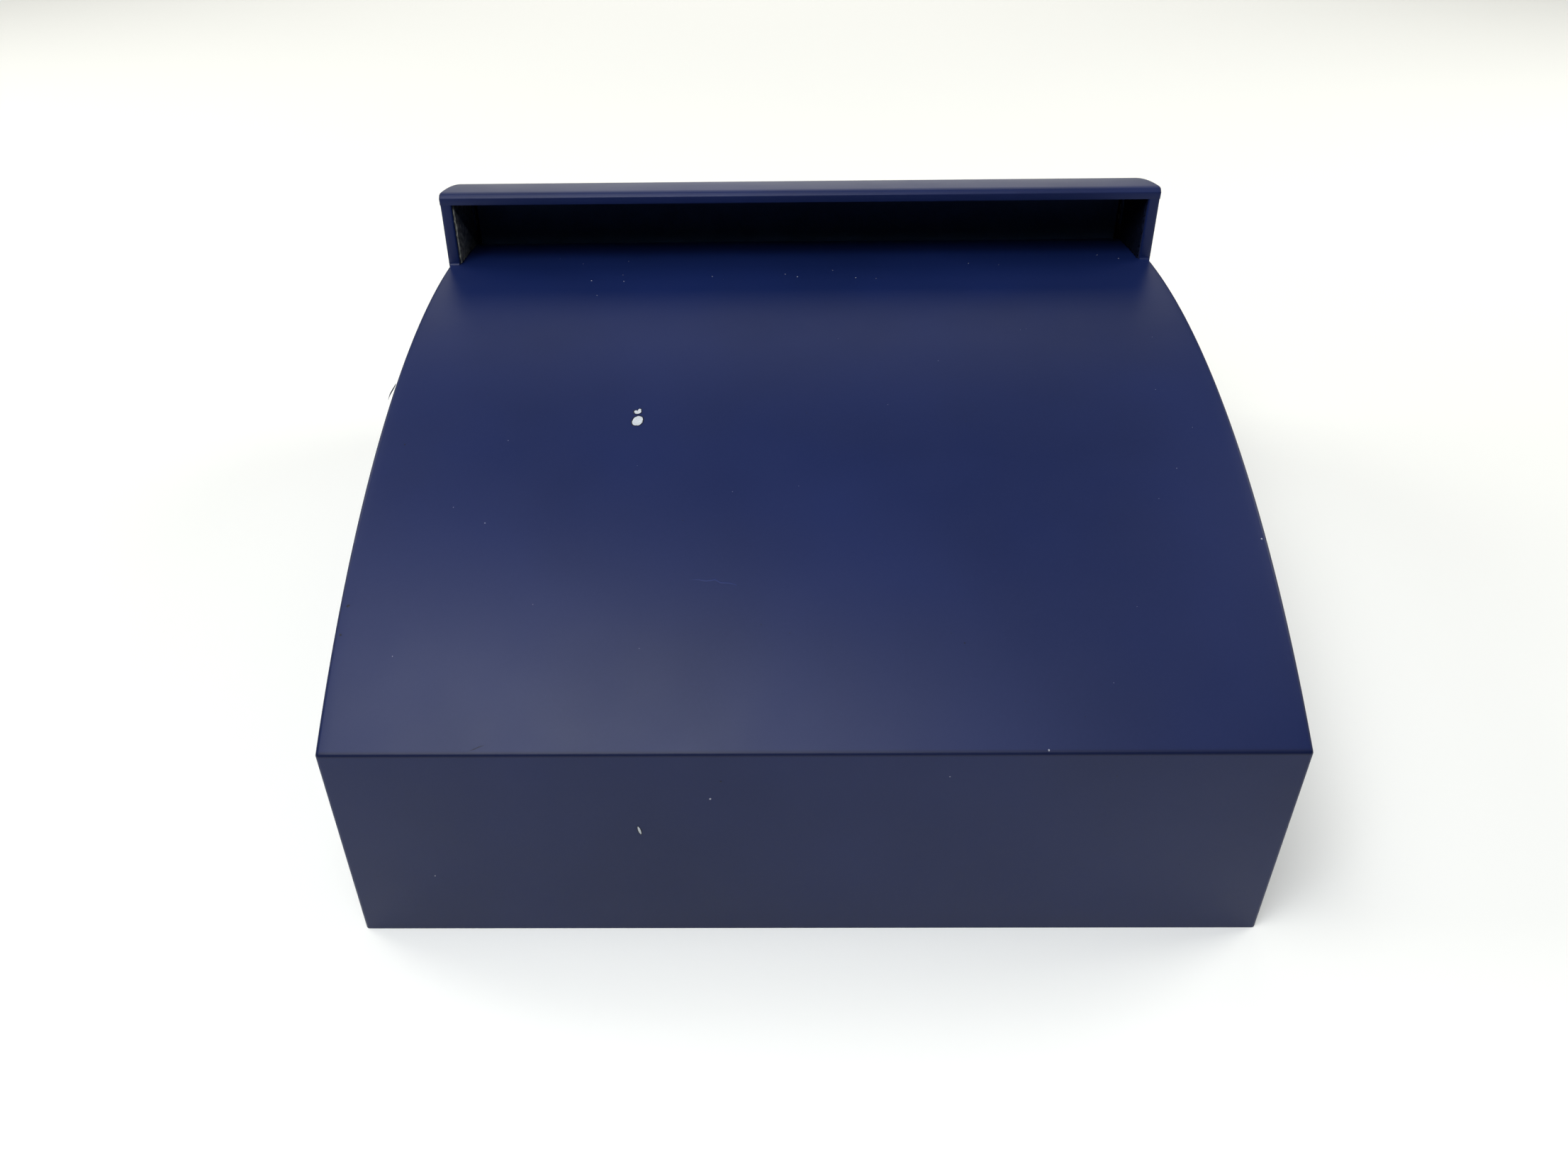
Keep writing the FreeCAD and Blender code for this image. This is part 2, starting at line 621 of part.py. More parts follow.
def make_roof_cleats():
    """Straight cleats under the roof's straight rear, behind the flap's swing."""
    drop = "(sheet + batten)"
    corners = [(CLEAT_FRONT, roof_z(CLEAT_FRONT, drop)), (DOOR_PLANE, roof_z(DOOR_PLANE, drop)),
               (DOOR_PLANE, roof_z(DOOR_PLANE, "sheet")), (CLEAT_FRONT, roof_z(CLEAT_FRONT, "sheet"))]
    for side, x in (("left", f"0 - {INNER}"), ("right", f"{INNER} - batten")):
        body = bent_sheet(f"roof_cleat_{side}", corners, None, "batten")
        place(body, x)
        keep(body, f"roof_cleat_{side}")


# ---------------------------------------------------------------- throat and flap

def make_throat_liners():
    """Rough lining on the cheeks' inner faces, from just inside the slot to the flap's brackets."""
    front = "(hood_face + liner_setback)"
    rear = f"({FLAP_Y} - bracket_width / 2 - liner_gap)"
    foot = "(0 - liner_gap)"
    head = "(sheet + liner_gap)"
    corners = [(front, deck_z(front, foot)), (rear, deck_z(rear, foot)), (rear, roof_arc_z(rear, head)),
               (front, roof_arc_z(front, head))]
    arcs = {0: ("(deck_radius + liner_gap)", -1), 2: ("(roof_radius - sheet - liner_gap)", 1)}
    for side, x in (("left", f"0 - {INNER}"), ("right", f"{INNER} - liner")):
        body = bent_sheet(f"throat_liner_{side}", corners, arcs, "liner")
        place(body, x)
        keep(body, f"throat_liner_{side}")


def make_flap_stop():
    """Rubber strip on the throat floor's rear end, which the flap hangs against."""
    top = f"({deck_z('deck_end')} - stop_strip_drop)"
    half = f"({FLAP_HALF} - flap_side_gap)"
    keep(block("flap_stop_strip", (f"(0 - {half})", half), ("deck_end", "(deck_end + stop_strip)"),
               (f"({top} - stop_strip_height)", top)), "flap_stop_strip")


def make_flap(bracket_screws):
    """Hanging flap, its pivot rod and the two brackets on the side sheets."""
    tube = cylinder("flap_tube", "flap_tube_radius", f"2 * {FLAP_HALF}",
                    f"(0 - {FLAP_HALF})", FLAP_Y, FLAP_Z, RIGHT)
    leaf = block("flap_leaf", (f"(0 - {FLAP_HALF})", FLAP_HALF),
                 (f"({FLAP_Y} - flap_sheet / 2)", f"({FLAP_Y} + flap_sheet / 2)"), (FLAP_FOOT, FLAP_Z))
    bore = cylinder("flap_bore", "flap_rod_radius + running_clearance", f"2 * {FLAP_HALF}",
                    f"(0 - {FLAP_HALF})", FLAP_Y, FLAP_Z, RIGHT)
    keep(cut("return_flap", fuse("flap_blank", [tube, leaf]), [bore]), "return_flap")
    rod = cylinder("flap_rod", "flap_rod_radius", f"2 * {INNER}", f"(0 - {INNER})", FLAP_Y, FLAP_Z, RIGHT)
    keep(rod, "flap_rod")
    y = (f"({FLAP_Y} - bracket_width / 2)", f"({FLAP_Y} + bracket_width / 2)")
    z = (f"({FLAP_Z} - bracket_fall)", f"({FLAP_Z} + bracket_rise)")
    face = f"({INNER} - bracket_plate)"
    tip = f"({face} - bracket_boss)"
    for side, x, start in (("left", (f"(0 - {INNER})", f"(0 - {face})"), f"(0 - {face})"),
                           ("right", (face, INNER), tip)):
        plate = block(f"bracket_plate_{side}", x, y, z)
        boss = cylinder(f"bracket_boss_{side}", "bracket_boss_radius", "bracket_boss",
                        start, FLAP_Y, FLAP_Z, RIGHT)
        blank = fuse(f"bracket_blank_{side}", [plate, boss])
        label = f"flap_bracket_{side}"
        keep(cut(label, blank, [rod, bracket_screws]), label)


def make_mat():
    """Rubber landing mat under the drop."""
    body = new_body("landing_mat")
    sketch = new_sketch(body, "XY_Plane", "mat_outline")
    add_outline(sketch, rectangle("-mat_width / 2", "mat_width / 2", "mat_front", "mat_rear"))
    pad(body, sketch, "mat_thickness")
    round_edges(body, "mat_corner", lambda middle, along: abs(along.z) > STRAIGHT)
    place(body, z="sheet")
    keep(body, "landing_mat")


# ---------------------------------------------------------------- rear door, hinge and lock

def make_hinge(jamb_screws, door_screws):
    """Continuous hinge: knuckles turn about to belong to the jamb's leaf and to the door's."""
    pitch = f"({HINGE_LENGTH} / {KNUCKLES})"
    leaf_z = (HINGE_FOOT, f"({HINGE_FOOT} + {HINGE_LENGTH})")
    door_edge = f"({HINGE_X} + knuckle_radius + hinge_clearance)"
    pieces = {
        "jamb": [block("jamb_plate", (f"(0 - {INNER})", f"(leaf_sheet - {INNER})"),
                       ("(depth - leaf_width)", "depth"), leaf_z)],
        "door": [block("door_plate", (door_edge, f"({HINGE_X} + leaf_width)"),
                       ("depth", "(depth + leaf_sheet)"), leaf_z)],
    }
    for index in range(KNUCKLES):
        side = "door" if index % 2 else "jamb"
        foot = f"({HINGE_FOOT} + {pitch} * {index} + hinge_clearance / 2)"
        height = f"({pitch} - hinge_clearance)"
        z = (foot, f"({foot} + {height})")
        pieces[side].append(cylinder(f"knuckle_{index}", "knuckle_radius", height, HINGE_X, HINGE_Y, foot))
        if side == "jamb":
            tab = block(f"tab_{index}", (f"(0 - {INNER})", f"(leaf_sheet - {INNER})"), ("depth", HINGE_Y), z)
        else:
            tab = block(f"tab_{index}", (HINGE_X, door_edge), ("depth", "(depth + leaf_sheet)"), z)
        pieces[side].append(tab)
    pin = cylinder("hinge_pin", "hinge_pin_radius", HINGE_LENGTH, HINGE_X, HINGE_Y, HINGE_FOOT)
    bore = cylinder("hinge_bore", "hinge_pin_radius + running_clearance", HINGE_LENGTH,
                    HINGE_X, HINGE_Y, HINGE_FOOT)
    keep(pin, "hinge_pin")
    for side, tools in (("jamb", [pin, jamb_screws]), ("door", [bore, door_screws])):
        blank = fuse(f"{side}_leaf_blank", pieces[side])
        keep(cut(f"hinge_{side}_leaf", blank, tools), f"hinge_{side}_leaf")


def make_door_stop(strike_screws):
    """Batten that the door closes against, its rubber bumpers and the cam's strike plate."""
    x = (f"({INNER} - stop_width)", INNER)
    front = f"({STOP_PLANE} - stop_depth)"
    batten = block("door_stop_blank", x, (front, STOP_PLANE), ("sheet", DOOR_HEAD))
    keep(cut("door_stop_batten", batten, [strike_screws]), "door_stop_batten")
    plate = block("strike_blank", x, (f"({front} - strike_sheet)", front),
                  ("(lock_z - strike_length / 2)", "(lock_z + strike_length / 2)"))
    keep(cut("strike_plate", plate, [strike_screws]), "strike_plate")
    bumpers = document.addObject("Part::Compound", "door_bumpers")
    bumpers.Links = [cylinder(f"bumper_{name}", "bumper_radius", "bumper_thickness",
                              f"({INNER} - stop_width / 2)", STOP_PLANE, z, REAR)
                     for name, z in (("low", "(sheet + bumper_inset)"),
                                     ("high", f"({DOOR_HEAD} - bumper_inset)"))]
    keep(bumpers, "door_bumpers")


def make_lock():
    """Cam lock: barrel, nut, plug with its keyway, cam and the screw that holds the cam."""
    barrel = cylinder("lock_barrel", "lock_radius", "lock_length", LOCK_X, "depth", "lock_z", FRONT)
    flange = cylinder("lock_flange_disc", "lock_flange_radius", "lock_flange",
                      LOCK_X, "depth", "lock_z", REAR)
    bore = cylinder("lock_bore", "plug_radius + running_clearance", "lock_length + lock_flange",
                    LOCK_X, "(depth + lock_flange)", "lock_z", FRONT)
    keep(cut("lock_housing", fuse("lock_housing_blank", [barrel, flange]), [bore]), "lock_housing")
    nut = document.addObject("Part::Prism", "lock_nut_blank")
    nut.Polygon = 6
    nut.setExpression("Circumradius", formula("nut_flats / 2 / cos(30)"))
    nut.setExpression("Height", formula("nut_thickness"))
    nut.Placement.Rotation = FreeCAD.Rotation(UP, FRONT)
    place(nut, LOCK_X, DOOR_PLANE, "lock_z")
    keep(cut("lock_nut", nut, [barrel]), "lock_nut")
    cam_front = f"({CAM_PLANE} - cam_sheet)"
    face = "(depth + lock_flange - plug_recess)"
    plug = cylinder("plug_body", "plug_radius", f"{face} - {CAM_PLANE}", LOCK_X, face, "lock_z", FRONT)
    tail = cylinder("plug_tail", "plug_tail_radius", f"{face} - {cam_front}", LOCK_X, face, "lock_z", FRONT)
    keyway = block("keyway", (f"({LOCK_X} - keyway_width / 2)", f"({LOCK_X} + keyway_width / 2)"),
                   (f"({face} - keyway_depth)", face),
                   ("(lock_z - keyway_height / 2)", "(lock_z + keyway_height / 2)"))
    shank = cylinder("cam_screw_shank", "cam_screw_radius", "cam_screw_length",
                     LOCK_X, cam_front, "lock_z", REAR)
    head = cylinder("cam_screw_disc", "cam_screw_head_radius", "cam_screw_head",
                    LOCK_X, cam_front, "lock_z", FRONT)
    keep(fuse("lock_cam_screw", [shank, head]), "lock_cam_screw")
    keep(cut("lock_plug", fuse("lock_plug_blank", [plug, tail]), [keyway, shank]), "lock_plug")
    cam_y = (cam_front, CAM_PLANE)
    arm = block("cam_arm", (f"({LOCK_X} - cam_width / 2)", f"({LOCK_X} + cam_width / 2)"), cam_y,
                ("(lock_z - cam_length)", "lock_z"))
    eye = cylinder("cam_eye", "cam_width / 2", "cam_sheet", LOCK_X, cam_front, "lock_z", REAR)
    keep(cut("lock_cam", fuse("lock_cam_blank", [arm, eye]), [tail]), "lock_cam")
    return barrel


def make_knob():
    """Turned knob on the door and the screw that holds it from inside."""
    body = new_body("knob_blank")
    sketch = new_sketch(body, "XZ_Plane", "knob_outline")
    rise = "(knob_length - knob_head)"
    add_outline(sketch, [("0", "0"), ("knob_foot_radius", "0"), ("knob_foot_radius", "knob_foot / 2"),
                         ("knob_neck_radius", "knob_foot"), ("knob_neck_radius", f"({rise} - knob_flare)"),
                         ("knob_radius", f"({rise} + knob_flare)"),
                         ("knob_radius", "(knob_length - knob_round)"),
                         ("(knob_radius - knob_round)", "knob_length"), ("0", "knob_length")],
                {6: ("knob_round", 1)})
    turned = body.newObject("PartDesign::Revolution", "knob_turned")
    turned.Profile = sketch
    turned.ReferenceAxis = (sketch, ["V_Axis"])
    turned.Angle = 360
    document.recompute()
    body.Placement.Rotation = FreeCAD.Rotation(UP, REAR)
    place(body, LOCK_X, "depth", "knob_z")
    shank = cylinder("knob_screw_shank", "knob_screw_radius", "sheet + knob_screw_grip",
                     LOCK_X, DOOR_PLANE, "knob_z", REAR)
    head = cylinder("knob_screw_disc", "knob_screw_head_radius", "knob_screw_head",
                    LOCK_X, DOOR_PLANE, "knob_z", FRONT)
    keep(cut("door_knob", body, [shank]), "door_knob")
    keep(fuse("door_knob_screw", [shank, head]), "door_knob_screw")
    return shank


def make_door(tools):
    """Rear door sheet, set into the opening, flush with the rear face."""
    blank = block("door_blank", (f"(hinge_side_gap - {INNER})", f"({INNER} - door_gap)"),
                  (DOOR_PLANE, "depth"), ("(sheet + door_gap)", f"({DOOR_HEAD} - door_gap)"))
    keep(cut("door_panel", blank, tools), "door_panel")


def check_document():
    """Stop if any object failed, or if a sub-part is empty, invalid or not closed."""
    for item in document.Objects:
        if "Invalid" in item.State or "Error" in item.State:
            raise ValueError(f"{item.Label} failed: {item.State}")
    for item in SUBPARTS:
        shape = item.Shape
        if shape.isNull() or not shape.isValid() or not shape.Solids:
            raise ValueError(f"{item.Label} has no valid solid")


def main():
    base_screws = make_base_screws()
    jamb_screws, door_screws = make_hinge_screws()
    bracket_screws = make_bracket_screws()
    strike_screws = make_strike_screws()
    make_base(base_screws)
    make_side_panel("side_panel_left", "-width / 2", "0", "sheet", [jamb_screws, bracket_screws])
    make_side_panel("side_panel_right", INNER, "sheet", "0", [bracket_screws])
    make_front_panel()
    make_deck()
    make_roof()
    make_rear_header()
    make_battens(base_screws)
    bent_batten("deck_cleat_left", "cleat_depth", "batten", f"0 - {INNER}")
    bent_batten("deck_cleat_right", "cleat_depth", "batten", f"{INNER} - batten")
    bent_batten("deck_rib_center", "rib_depth", "rib_width", "-rib_width / 2")
    make_throat_rail()
    make_roof_cleats()
    make_throat_liners()
    make_flap_stop()
    make_flap(bracket_screws)
    make_mat()
    make_hinge(jamb_screws, door_screws)
    make_door_stop(strike_screws)
    barrel = make_lock()
    knob_shank = make_knob()
    make_door([door_screws, barrel, knob_shank])
    document.recompute()
    check_document()
    os.makedirs("parts", exist_ok=True)
    for item in SUBPARTS:
        item.Shape.exportStep(f"parts/{item.Label}.step")
        print(f"{item.Label:26s} {len(item.Shape.Solids):2d} solids {item.Shape.Volume:12.1f} mm3")


main()
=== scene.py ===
"""Looks of the counter-top book drop box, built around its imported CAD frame.

Everything is in metres, in the frame's own axes: +X to the right, +Y to the rear, +Z up.
"""
import bmesh
import bpy
import math
import random
from mathutils import Matrix, Vector


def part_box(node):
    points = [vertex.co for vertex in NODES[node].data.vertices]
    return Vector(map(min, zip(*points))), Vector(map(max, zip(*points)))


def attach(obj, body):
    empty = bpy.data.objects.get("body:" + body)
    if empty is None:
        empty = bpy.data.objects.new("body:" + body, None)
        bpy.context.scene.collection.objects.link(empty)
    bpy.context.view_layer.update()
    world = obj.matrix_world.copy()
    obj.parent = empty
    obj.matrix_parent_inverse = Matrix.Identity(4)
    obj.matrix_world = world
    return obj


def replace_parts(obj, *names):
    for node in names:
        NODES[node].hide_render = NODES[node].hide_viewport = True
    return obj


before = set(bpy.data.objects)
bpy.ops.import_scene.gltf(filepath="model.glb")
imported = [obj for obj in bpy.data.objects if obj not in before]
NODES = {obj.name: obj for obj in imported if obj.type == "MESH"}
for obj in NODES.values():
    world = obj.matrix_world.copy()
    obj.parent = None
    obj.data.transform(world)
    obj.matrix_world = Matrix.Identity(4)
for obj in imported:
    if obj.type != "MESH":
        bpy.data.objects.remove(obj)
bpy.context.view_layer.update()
MM = 0.001

# ---------------------------------------------------------------- sizes, from the frame

front_low, front_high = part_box("front_panel")
base_low, base_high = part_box("base_panel")
deck_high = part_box("curved_deck")[1]
HALF = front_high.x
FRONT = front_low.y
REAR = base_high.y
SHEET = base_high.z - base_low.z
INNER = HALF - SHEET
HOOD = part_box("hood_roof")[0].y
DECK_END = deck_high.y

# The sheets' bends and rounded edges, which boxes can't give
ARRIS_HEIGHT = 0.1642
DECK_RADIUS = 0.859
SLOT_HEIGHT = 0.053
ROOF_RADIUS = 0.420
ROOF_CREST = FRONT + 0.442
ROOF_PITCH = math.radians(20.5)
ARRIS_ROUND = 2.8 * MM
LIP_ROUND = 0.5 * MM
EDGE_ROUND = 1.5 * MM
DOOR_ROUND = 0.8 * MM

# The facets along the roof's lip: how far behind the hood's face, and how far below the roof's curve
LIP_DROP = 3.8 * MM
NOSE_BACK, NOSE_DROP = 3.0 * MM, 0.9 * MM
BROW_BACK = 6.2 * MM

# The lining inside the throat
LINING_GAP = 0.3 * MM
LINING_THICKNESS = 1.3 * MM
# Slope of the painted edge between the lining's painted light and the shade under the lip
PAINTED_LIGHT_SLOPE = math.tan(math.radians(41))

BEND_STEP = 4 * MM
SHARP = math.radians(20)

DECK_CENTRE_Z = deck_high.z - DECK_RADIUS
DECK_CENTRE_Y = FRONT + math.sqrt(DECK_RADIUS ** 2 - (ARRIS_HEIGHT - DECK_CENTRE_Z) ** 2)


def deck_z(y, below=0.0):
    """Height of the deck's top at y, or of the surface so far below it."""
    return DECK_CENTRE_Z + math.sqrt((DECK_RADIUS - below) ** 2 - (y - DECK_CENTRE_Y) ** 2)


SLOT_TOP = deck_z(HOOD) + SLOT_HEIGHT
ROOF_CENTRE_Z = SLOT_TOP - math.sqrt((ROOF_RADIUS - SHEET) ** 2 - (HOOD - ROOF_CREST) ** 2)


def roof_z(y, below=0.0):
    """Height of the roof's top at y, or of the surface so far below it."""
    radius = ROOF_RADIUS - below
    bend_y = ROOF_CREST + radius * math.sin(ROOF_PITCH)
    if y < bend_y:
        return ROOF_CENTRE_Z + math.sqrt(radius ** 2 - (y - ROOF_CREST) ** 2)
    return ROOF_CENTRE_Z + radius * math.cos(ROOF_PITCH) - (y - bend_y) * math.tan(ROOF_PITCH)


def in_mm(*pairs):
    """Pairs of millimetres, in metres."""
    return [(first * MM, second * MM) for first, second in pairs]


def spread(low, high, count):
    """Evenly spaced values from low to high, both included."""
    return [low + (high - low) * step / (count - 1) for step in range(count)]


# ---------------------------------------------------------------- colours

NAVY = (0.0031, 0.0105, 0.0600), (0.0043, 0.0130, 0.0735)
NAVY_DUST = (0.010, 0.018, 0.082, 1)
# Painted shade along the arrises
NAVY_EDGE_SHADE = (0.0012, 0.0045, 0.0300, 1)
NAVY_OVERSPRAY = (0.004, 0.012, 0.060, 1)
BOARD_FIBRE = (0.20, 0.125, 0.07), (0.36, 0.25, 0.15)
BOARD_CLOUD = (0.24, 0.16, 0.095, 1)
PINE_RINGS = (0.47, 0.29, 0.14), (0.62, 0.43, 0.23), (0.55, 0.35, 0.18)
PINE_PORES = (0.33, 0.19, 0.09, 1)
GREY_LINING = (0.060, 0.064, 0.056), (0.125, 0.130, 0.112), (0.24, 0.24, 0.21)
# The right lining's colours: navy overspray, made darker as painted shade on that cheek's unlit inner
# face
NAVY_SHADED_LINING = (0.001, 0.003, 0.010), (0.002, 0.004, 0.015), (0.004, 0.007, 0.022)
PAPER = (0.955, 0.95, 0.875), (0.97, 0.965, 0.89)


# ---------------------------------------------------------------- shader nodes

def add(tree, kind, inputs=None, **settings):
    """Add a node: inputs maps a socket's name or number to a value or to another node's output."""
    node = tree.nodes.new(kind)
    for name, value in settings.items():
        setattr(node, name, value)
    for socket, value in (inputs or {}).items():
        if isinstance(value, bpy.types.NodeSocket):
            tree.links.new(value, node.inputs[socket])
        else:
            node.inputs[socket].default_value = value
    return node


def new_material(name, **constants):
    """Material with a Principled shader whose named sockets are constant."""
    made = bpy.data.materials.new(name)
    made.use_nodes = True
    shader = made.node_tree.nodes["Principled BSDF"]
    for socket, value in constants.items():
        shader.inputs[socket.replace("_", " ")].default_value = value
    return made, made.node_tree, shader


def place(tree, stretch=(1, 1, 1)):
    """The surface's own position, in metres, stretched along the axes."""
    where = add(tree, "ShaderNodeTexCoord").outputs["Object"]
    return add(tree, "ShaderNodeMapping", {"Vector": where, "Scale": stretch}).outputs[0]


def grain(tree, where, size, detail=3.0, roughness=0.5):
    """Noise whose features are about so large, in metres."""
    inputs = {"Vector": where, "Scale": 1 / size, "Detail": detail, "Roughness": roughness}
    return add(tree, "ShaderNodeTexNoise", inputs).outputs["Fac"]


def ramp(tree, factor, *stops):
    """Colour ramp through (position, colour) stops."""
    node = add(tree, "ShaderNodeValToRGB", {"Fac": factor})
    elements = node.color_ramp.elements
    while len(elements) < len(stops):
        elements.new(1.0)
    for element, (position, colour) in zip(elements, stops):
        element.position = position
        element.color = (*colour, 1.0)
    return node.outputs["Color"]


def to_range(tree, value, low, high, start=0.0, end=1.0):
    """Map value from start..end to low..high."""
    inputs = {0: value, 1: start, 2: end, 3: low, 4: high}
    return add(tree, "ShaderNodeMapRange", inputs).outputs[0]


def mixed(tree, factor, first, second, kind="MIX"):
    """Two colours mixed by factor."""
    return add(tree, "ShaderNodeMix", {0: factor, 6: first, 7: second},
               data_type="RGBA", blend_type=kind).outputs[2]


def maths(tree, operation, *values):
    """Result of a maths node on one, two or three values."""
    return add(tree, "ShaderNodeMath", dict(enumerate(values)), operation=operation).outputs[0]


def parts_of(tree, vector):
    """The X, Y and Z of a vector."""
    return add(tree, "ShaderNodeSeparateXYZ", {"Vector": vector}).outputs


def from_line(tree, y, z):
    """Distance, in metres, from the line along X at (y, z)."""
    return add(tree, "ShaderNodeVectorMath", {0: place(tree, (0, 1, 1)), 1: (0, y, z)},
               operation="DISTANCE").outputs["Value"]


def bumped(tree, shader, *layers):
    """Chain bump layers of (height, distance in metres, strength) into the shader's normal."""
    normal = None
    for height, distance, strength in layers:
        inputs = {"Height": height, "Distance": distance, "Strength": strength}
        if normal:
            inputs["Normal"] = normal
        normal = add(tree, "ShaderNodeBump", inputs).outputs["Normal"]
    tree.links.new(normal, shader.inputs["Normal"])


def painted_edge_shade(tree, where):
    """Painted shade: how dark the lacquer is made along the front arris, and along the sides of the deck
    and the roof.
    """
    inset, near, far = 0.6 * MM, 1.2 * MM, 2.6 * MM
    front = to_range(tree, from_line(tree, FRONT + inset, ARRIS_HEIGHT), 0.75, 0.0, near, far)
    spot = parts_of(tree, where)
    beside = to_range(tree, maths(tree, "ABSOLUTE", spot["X"]), 0.0, 0.6, HALF - far, HALF - inset)
    above = to_range(tree, spot["Z"], 0.0, 1.0, ARRIS_HEIGHT - MM, ARRIS_HEIGHT)
    facing = add(tree, "ShaderNodeNewGeometry").outputs["Normal"]
    upward = to_range(tree, parts_of(tree, facing)["Z"], 0.0, 1.0, 0.05, 0.35)
    sides = maths(tree, "MULTIPLY", maths(tree, "MULTIPLY", beside, above), upward)
    return maths(tree, "MAXIMUM", front, sides)


def make_lacquer(name="navy_lacquer", tone=1.0):
    """Sprayed satin lacquer: faint cloudy tone, orange peel, dust under the film, and painted shade along
    the arrises.
    """
    made, tree, shader = new_material(name, Specular_IOR_Level=0.27)
    where = place(tree)
    cloud = grain(tree, where, 0.16, 2.0)
    mottle = grain(tree, where, 0.0022, 2.0)
    deep, light = (tuple(tone * part for part in shade) for shade in NAVY)
    base = ramp(tree, cloud, (0.35, deep), (0.65, light))
    dusty = mixed(tree, to_range(tree, mottle, 0.0, 0.16, 0.45, 0.75), base, NAVY_DUST)
    # Painted shade: the lacquer is darkened along the arrises
    tree.links.new(mixed(tree, painted_edge_shade(tree, where), dusty, NAVY_EDGE_SHADE), shader.inputs["Base Color"])
    streak = grain(tree, where, 0.035, 4.0)
    tree.links.new(to_range(tree, streak, 0.44, 0.47, 0.3, 0.7), shader.inputs["Roughness"])
    orange_peel, grit = grain(tree, where, 0.0035, 2.0), grain(tree, where, 0.0006, 1.0)
    bumped(tree, shader, (orange_peel, 0.00003, 0.35), (grit, 0.00001, 0.35))
    return made


def make_primer(name, low, high):
    """Pale grey primer that shows where the lacquer has chipped off, or pale dust."""
    made, tree, shader = new_material(name, Roughness=0.85)
    where = place(tree)
    fleck = grain(tree, where, 0.0009, 3.0)
    tree.links.new(ramp(tree, fleck, (0.3, low), (0.7, high)), shader.inputs["Base Color"])
    bumped(tree, shader, (fleck, 0.0001, 0.6))
    return made


def make_board():
    """Raw fibreboard: warm brown with short pale fibres, navy with overspray round the mouth."""
    made, tree, shader = new_material("raw_board", Roughness=0.82)
    fibre = grain(tree, place(tree, (1, 3, 3)), 0.0025, 5.0, 0.65)
    cloud = grain(tree, place(tree), 0.06, 2.0)
    fine = ramp(tree, fibre, *zip((0.3, 0.7), BOARD_FIBRE))
    raw = mixed(tree, to_range(tree, cloud, 0.0, 0.35, 0.3, 0.7), fine, BOARD_CLOUD)
    mouth = from_line(tree, HOOD, SLOT_TOP - SLOT_HEIGHT / 2)
    ragged = maths(tree, "ADD", mouth, to_range(tree, cloud, -0.02, 0.02))
    sprayed = to_range(tree, ragged, 1.0, 0.0, 0.05, 0.11)
    tree.links.new(mixed(tree, sprayed, raw, NAVY_OVERSPRAY), shader.inputs["Base Color"])
    bumped(tree, shader, (fibre, 0.0001, 0.5))
    return made


def make_timber(axis):
    """Pine batten whose grain runs along one axis."""
    made, tree, shader = new_material(f"pine_{axis}", Roughness=0.62)
    stretch = [9.0, 9.0, 9.0]
    stretch["xyz".index(axis)] = 0.5
    rings = grain(tree, place(tree, stretch), 0.045, 6.0, 0.6)
    pores = grain(tree, place(tree, stretch), 0.006, 3.0, 0.6)
    wood = ramp(tree, rings, *zip((0.35, 0.5, 0.65), PINE_RINGS))
    open_pores = to_range(tree, pores, 0.0, 0.4, 0.5, 0.8)
    tree.links.new(mixed(tree, open_pores, wood, PINE_PORES), shader.inputs["Base Color"])
    bumped(tree, shader, (pores, 0.0001, 0.4))
    return made


def make_lining(name, tones, painted_light_gain):
    """Rough lining, mottled and rubbed by books, with painted light below the edge of the lip's shadow.
    """
    made, tree, shader = new_material(name, Roughness=0.95, Specular_IOR_Level=0.08)
    where = place(tree)
    blotch = grain(tree, where, 0.005, 4.0, 0.65)
    fluff = grain(tree, where, 0.0008, 3.0, 0.6)
    tone = ramp(tree, blotch, *zip((0.35, 0.55, 0.7), tones))
    rubbed = mixed(tree, to_range(tree, fluff, 0.0, 0.5, 0.4, 0.7), tone, (*tones[0], 1))
    spot = parts_of(tree, where)
    # Painted light: below the lip's shadow edge the lining is made lighter, standing in for a lamp
    # shining in under the lip
    height = maths(tree, "MULTIPLY_ADD", spot["Y"], PAINTED_LIGHT_SLOPE, spot["Z"])
    edge = SLOT_TOP + PAINTED_LIGHT_SLOPE * HOOD
    painted_lit_part = to_range(tree, height, 1.0, 0.0, edge - 2.5 * MM, edge - MM)
    pale = mixed(tree, 1.0, rubbed, (*painted_light_gain, 1), "MULTIPLY")
    tree.links.new(mixed(tree, painted_lit_part, rubbed, pale), shader.inputs["Base Color"])
    bumped(tree, shader, (blotch, 0.0008, 0.8), (fluff, 0.0003, 0.8))
    return made


def make_rubber(name, size, low, high):
    """Matt rubber with a fine pebble of the given size, dusty in places."""
    made, tree, shader = new_material(name, Roughness=0.72, Specular_IOR_Level=0.35)
    where = place(tree)
    pebble = add(tree, "ShaderNodeTexVoronoi", {"Vector": where, "Scale": 1 / size}).outputs["Distance"]
    dust = grain(tree, where, 0.03, 4.0)
    tree.links.new(ramp(tree, dust, (0.35, low), (0.7, high)), shader.inputs["Base Color"])
    bumped(tree, shader, (pebble, 0.0002, 0.4))
    return made


def make_metal(name, colour, roughness, brushed=None):
    """Plated metal, brushed along one axis if that is given."""
    made, tree, shader = new_material(name, Metallic=1.0)
    stretch = [1.0, 1.0, 1.0]
    if brushed:
        stretch = [22.0, 22.0, 22.0]
        stretch["xyz".index(brushed)] = 0.6
    line = grain(tree, place(tree, stretch), 0.012, 5.0, 0.6)
    smudge = grain(tree, place(tree), 0.015, 3.0)
    dark = tuple(0.82 * part for part in colour)
    tree.links.new(ramp(tree, smudge, (0.35, dark), (0.65, colour)), shader.inputs["Base Color"])
    uneven = to_range(tree, line, roughness * 0.75, roughness * 1.3, 0.3, 0.7)
    tree.links.new(uneven, shader.inputs["Roughness"])
    bumped(tree, shader, (line, 0.00002, 0.4))
    return made


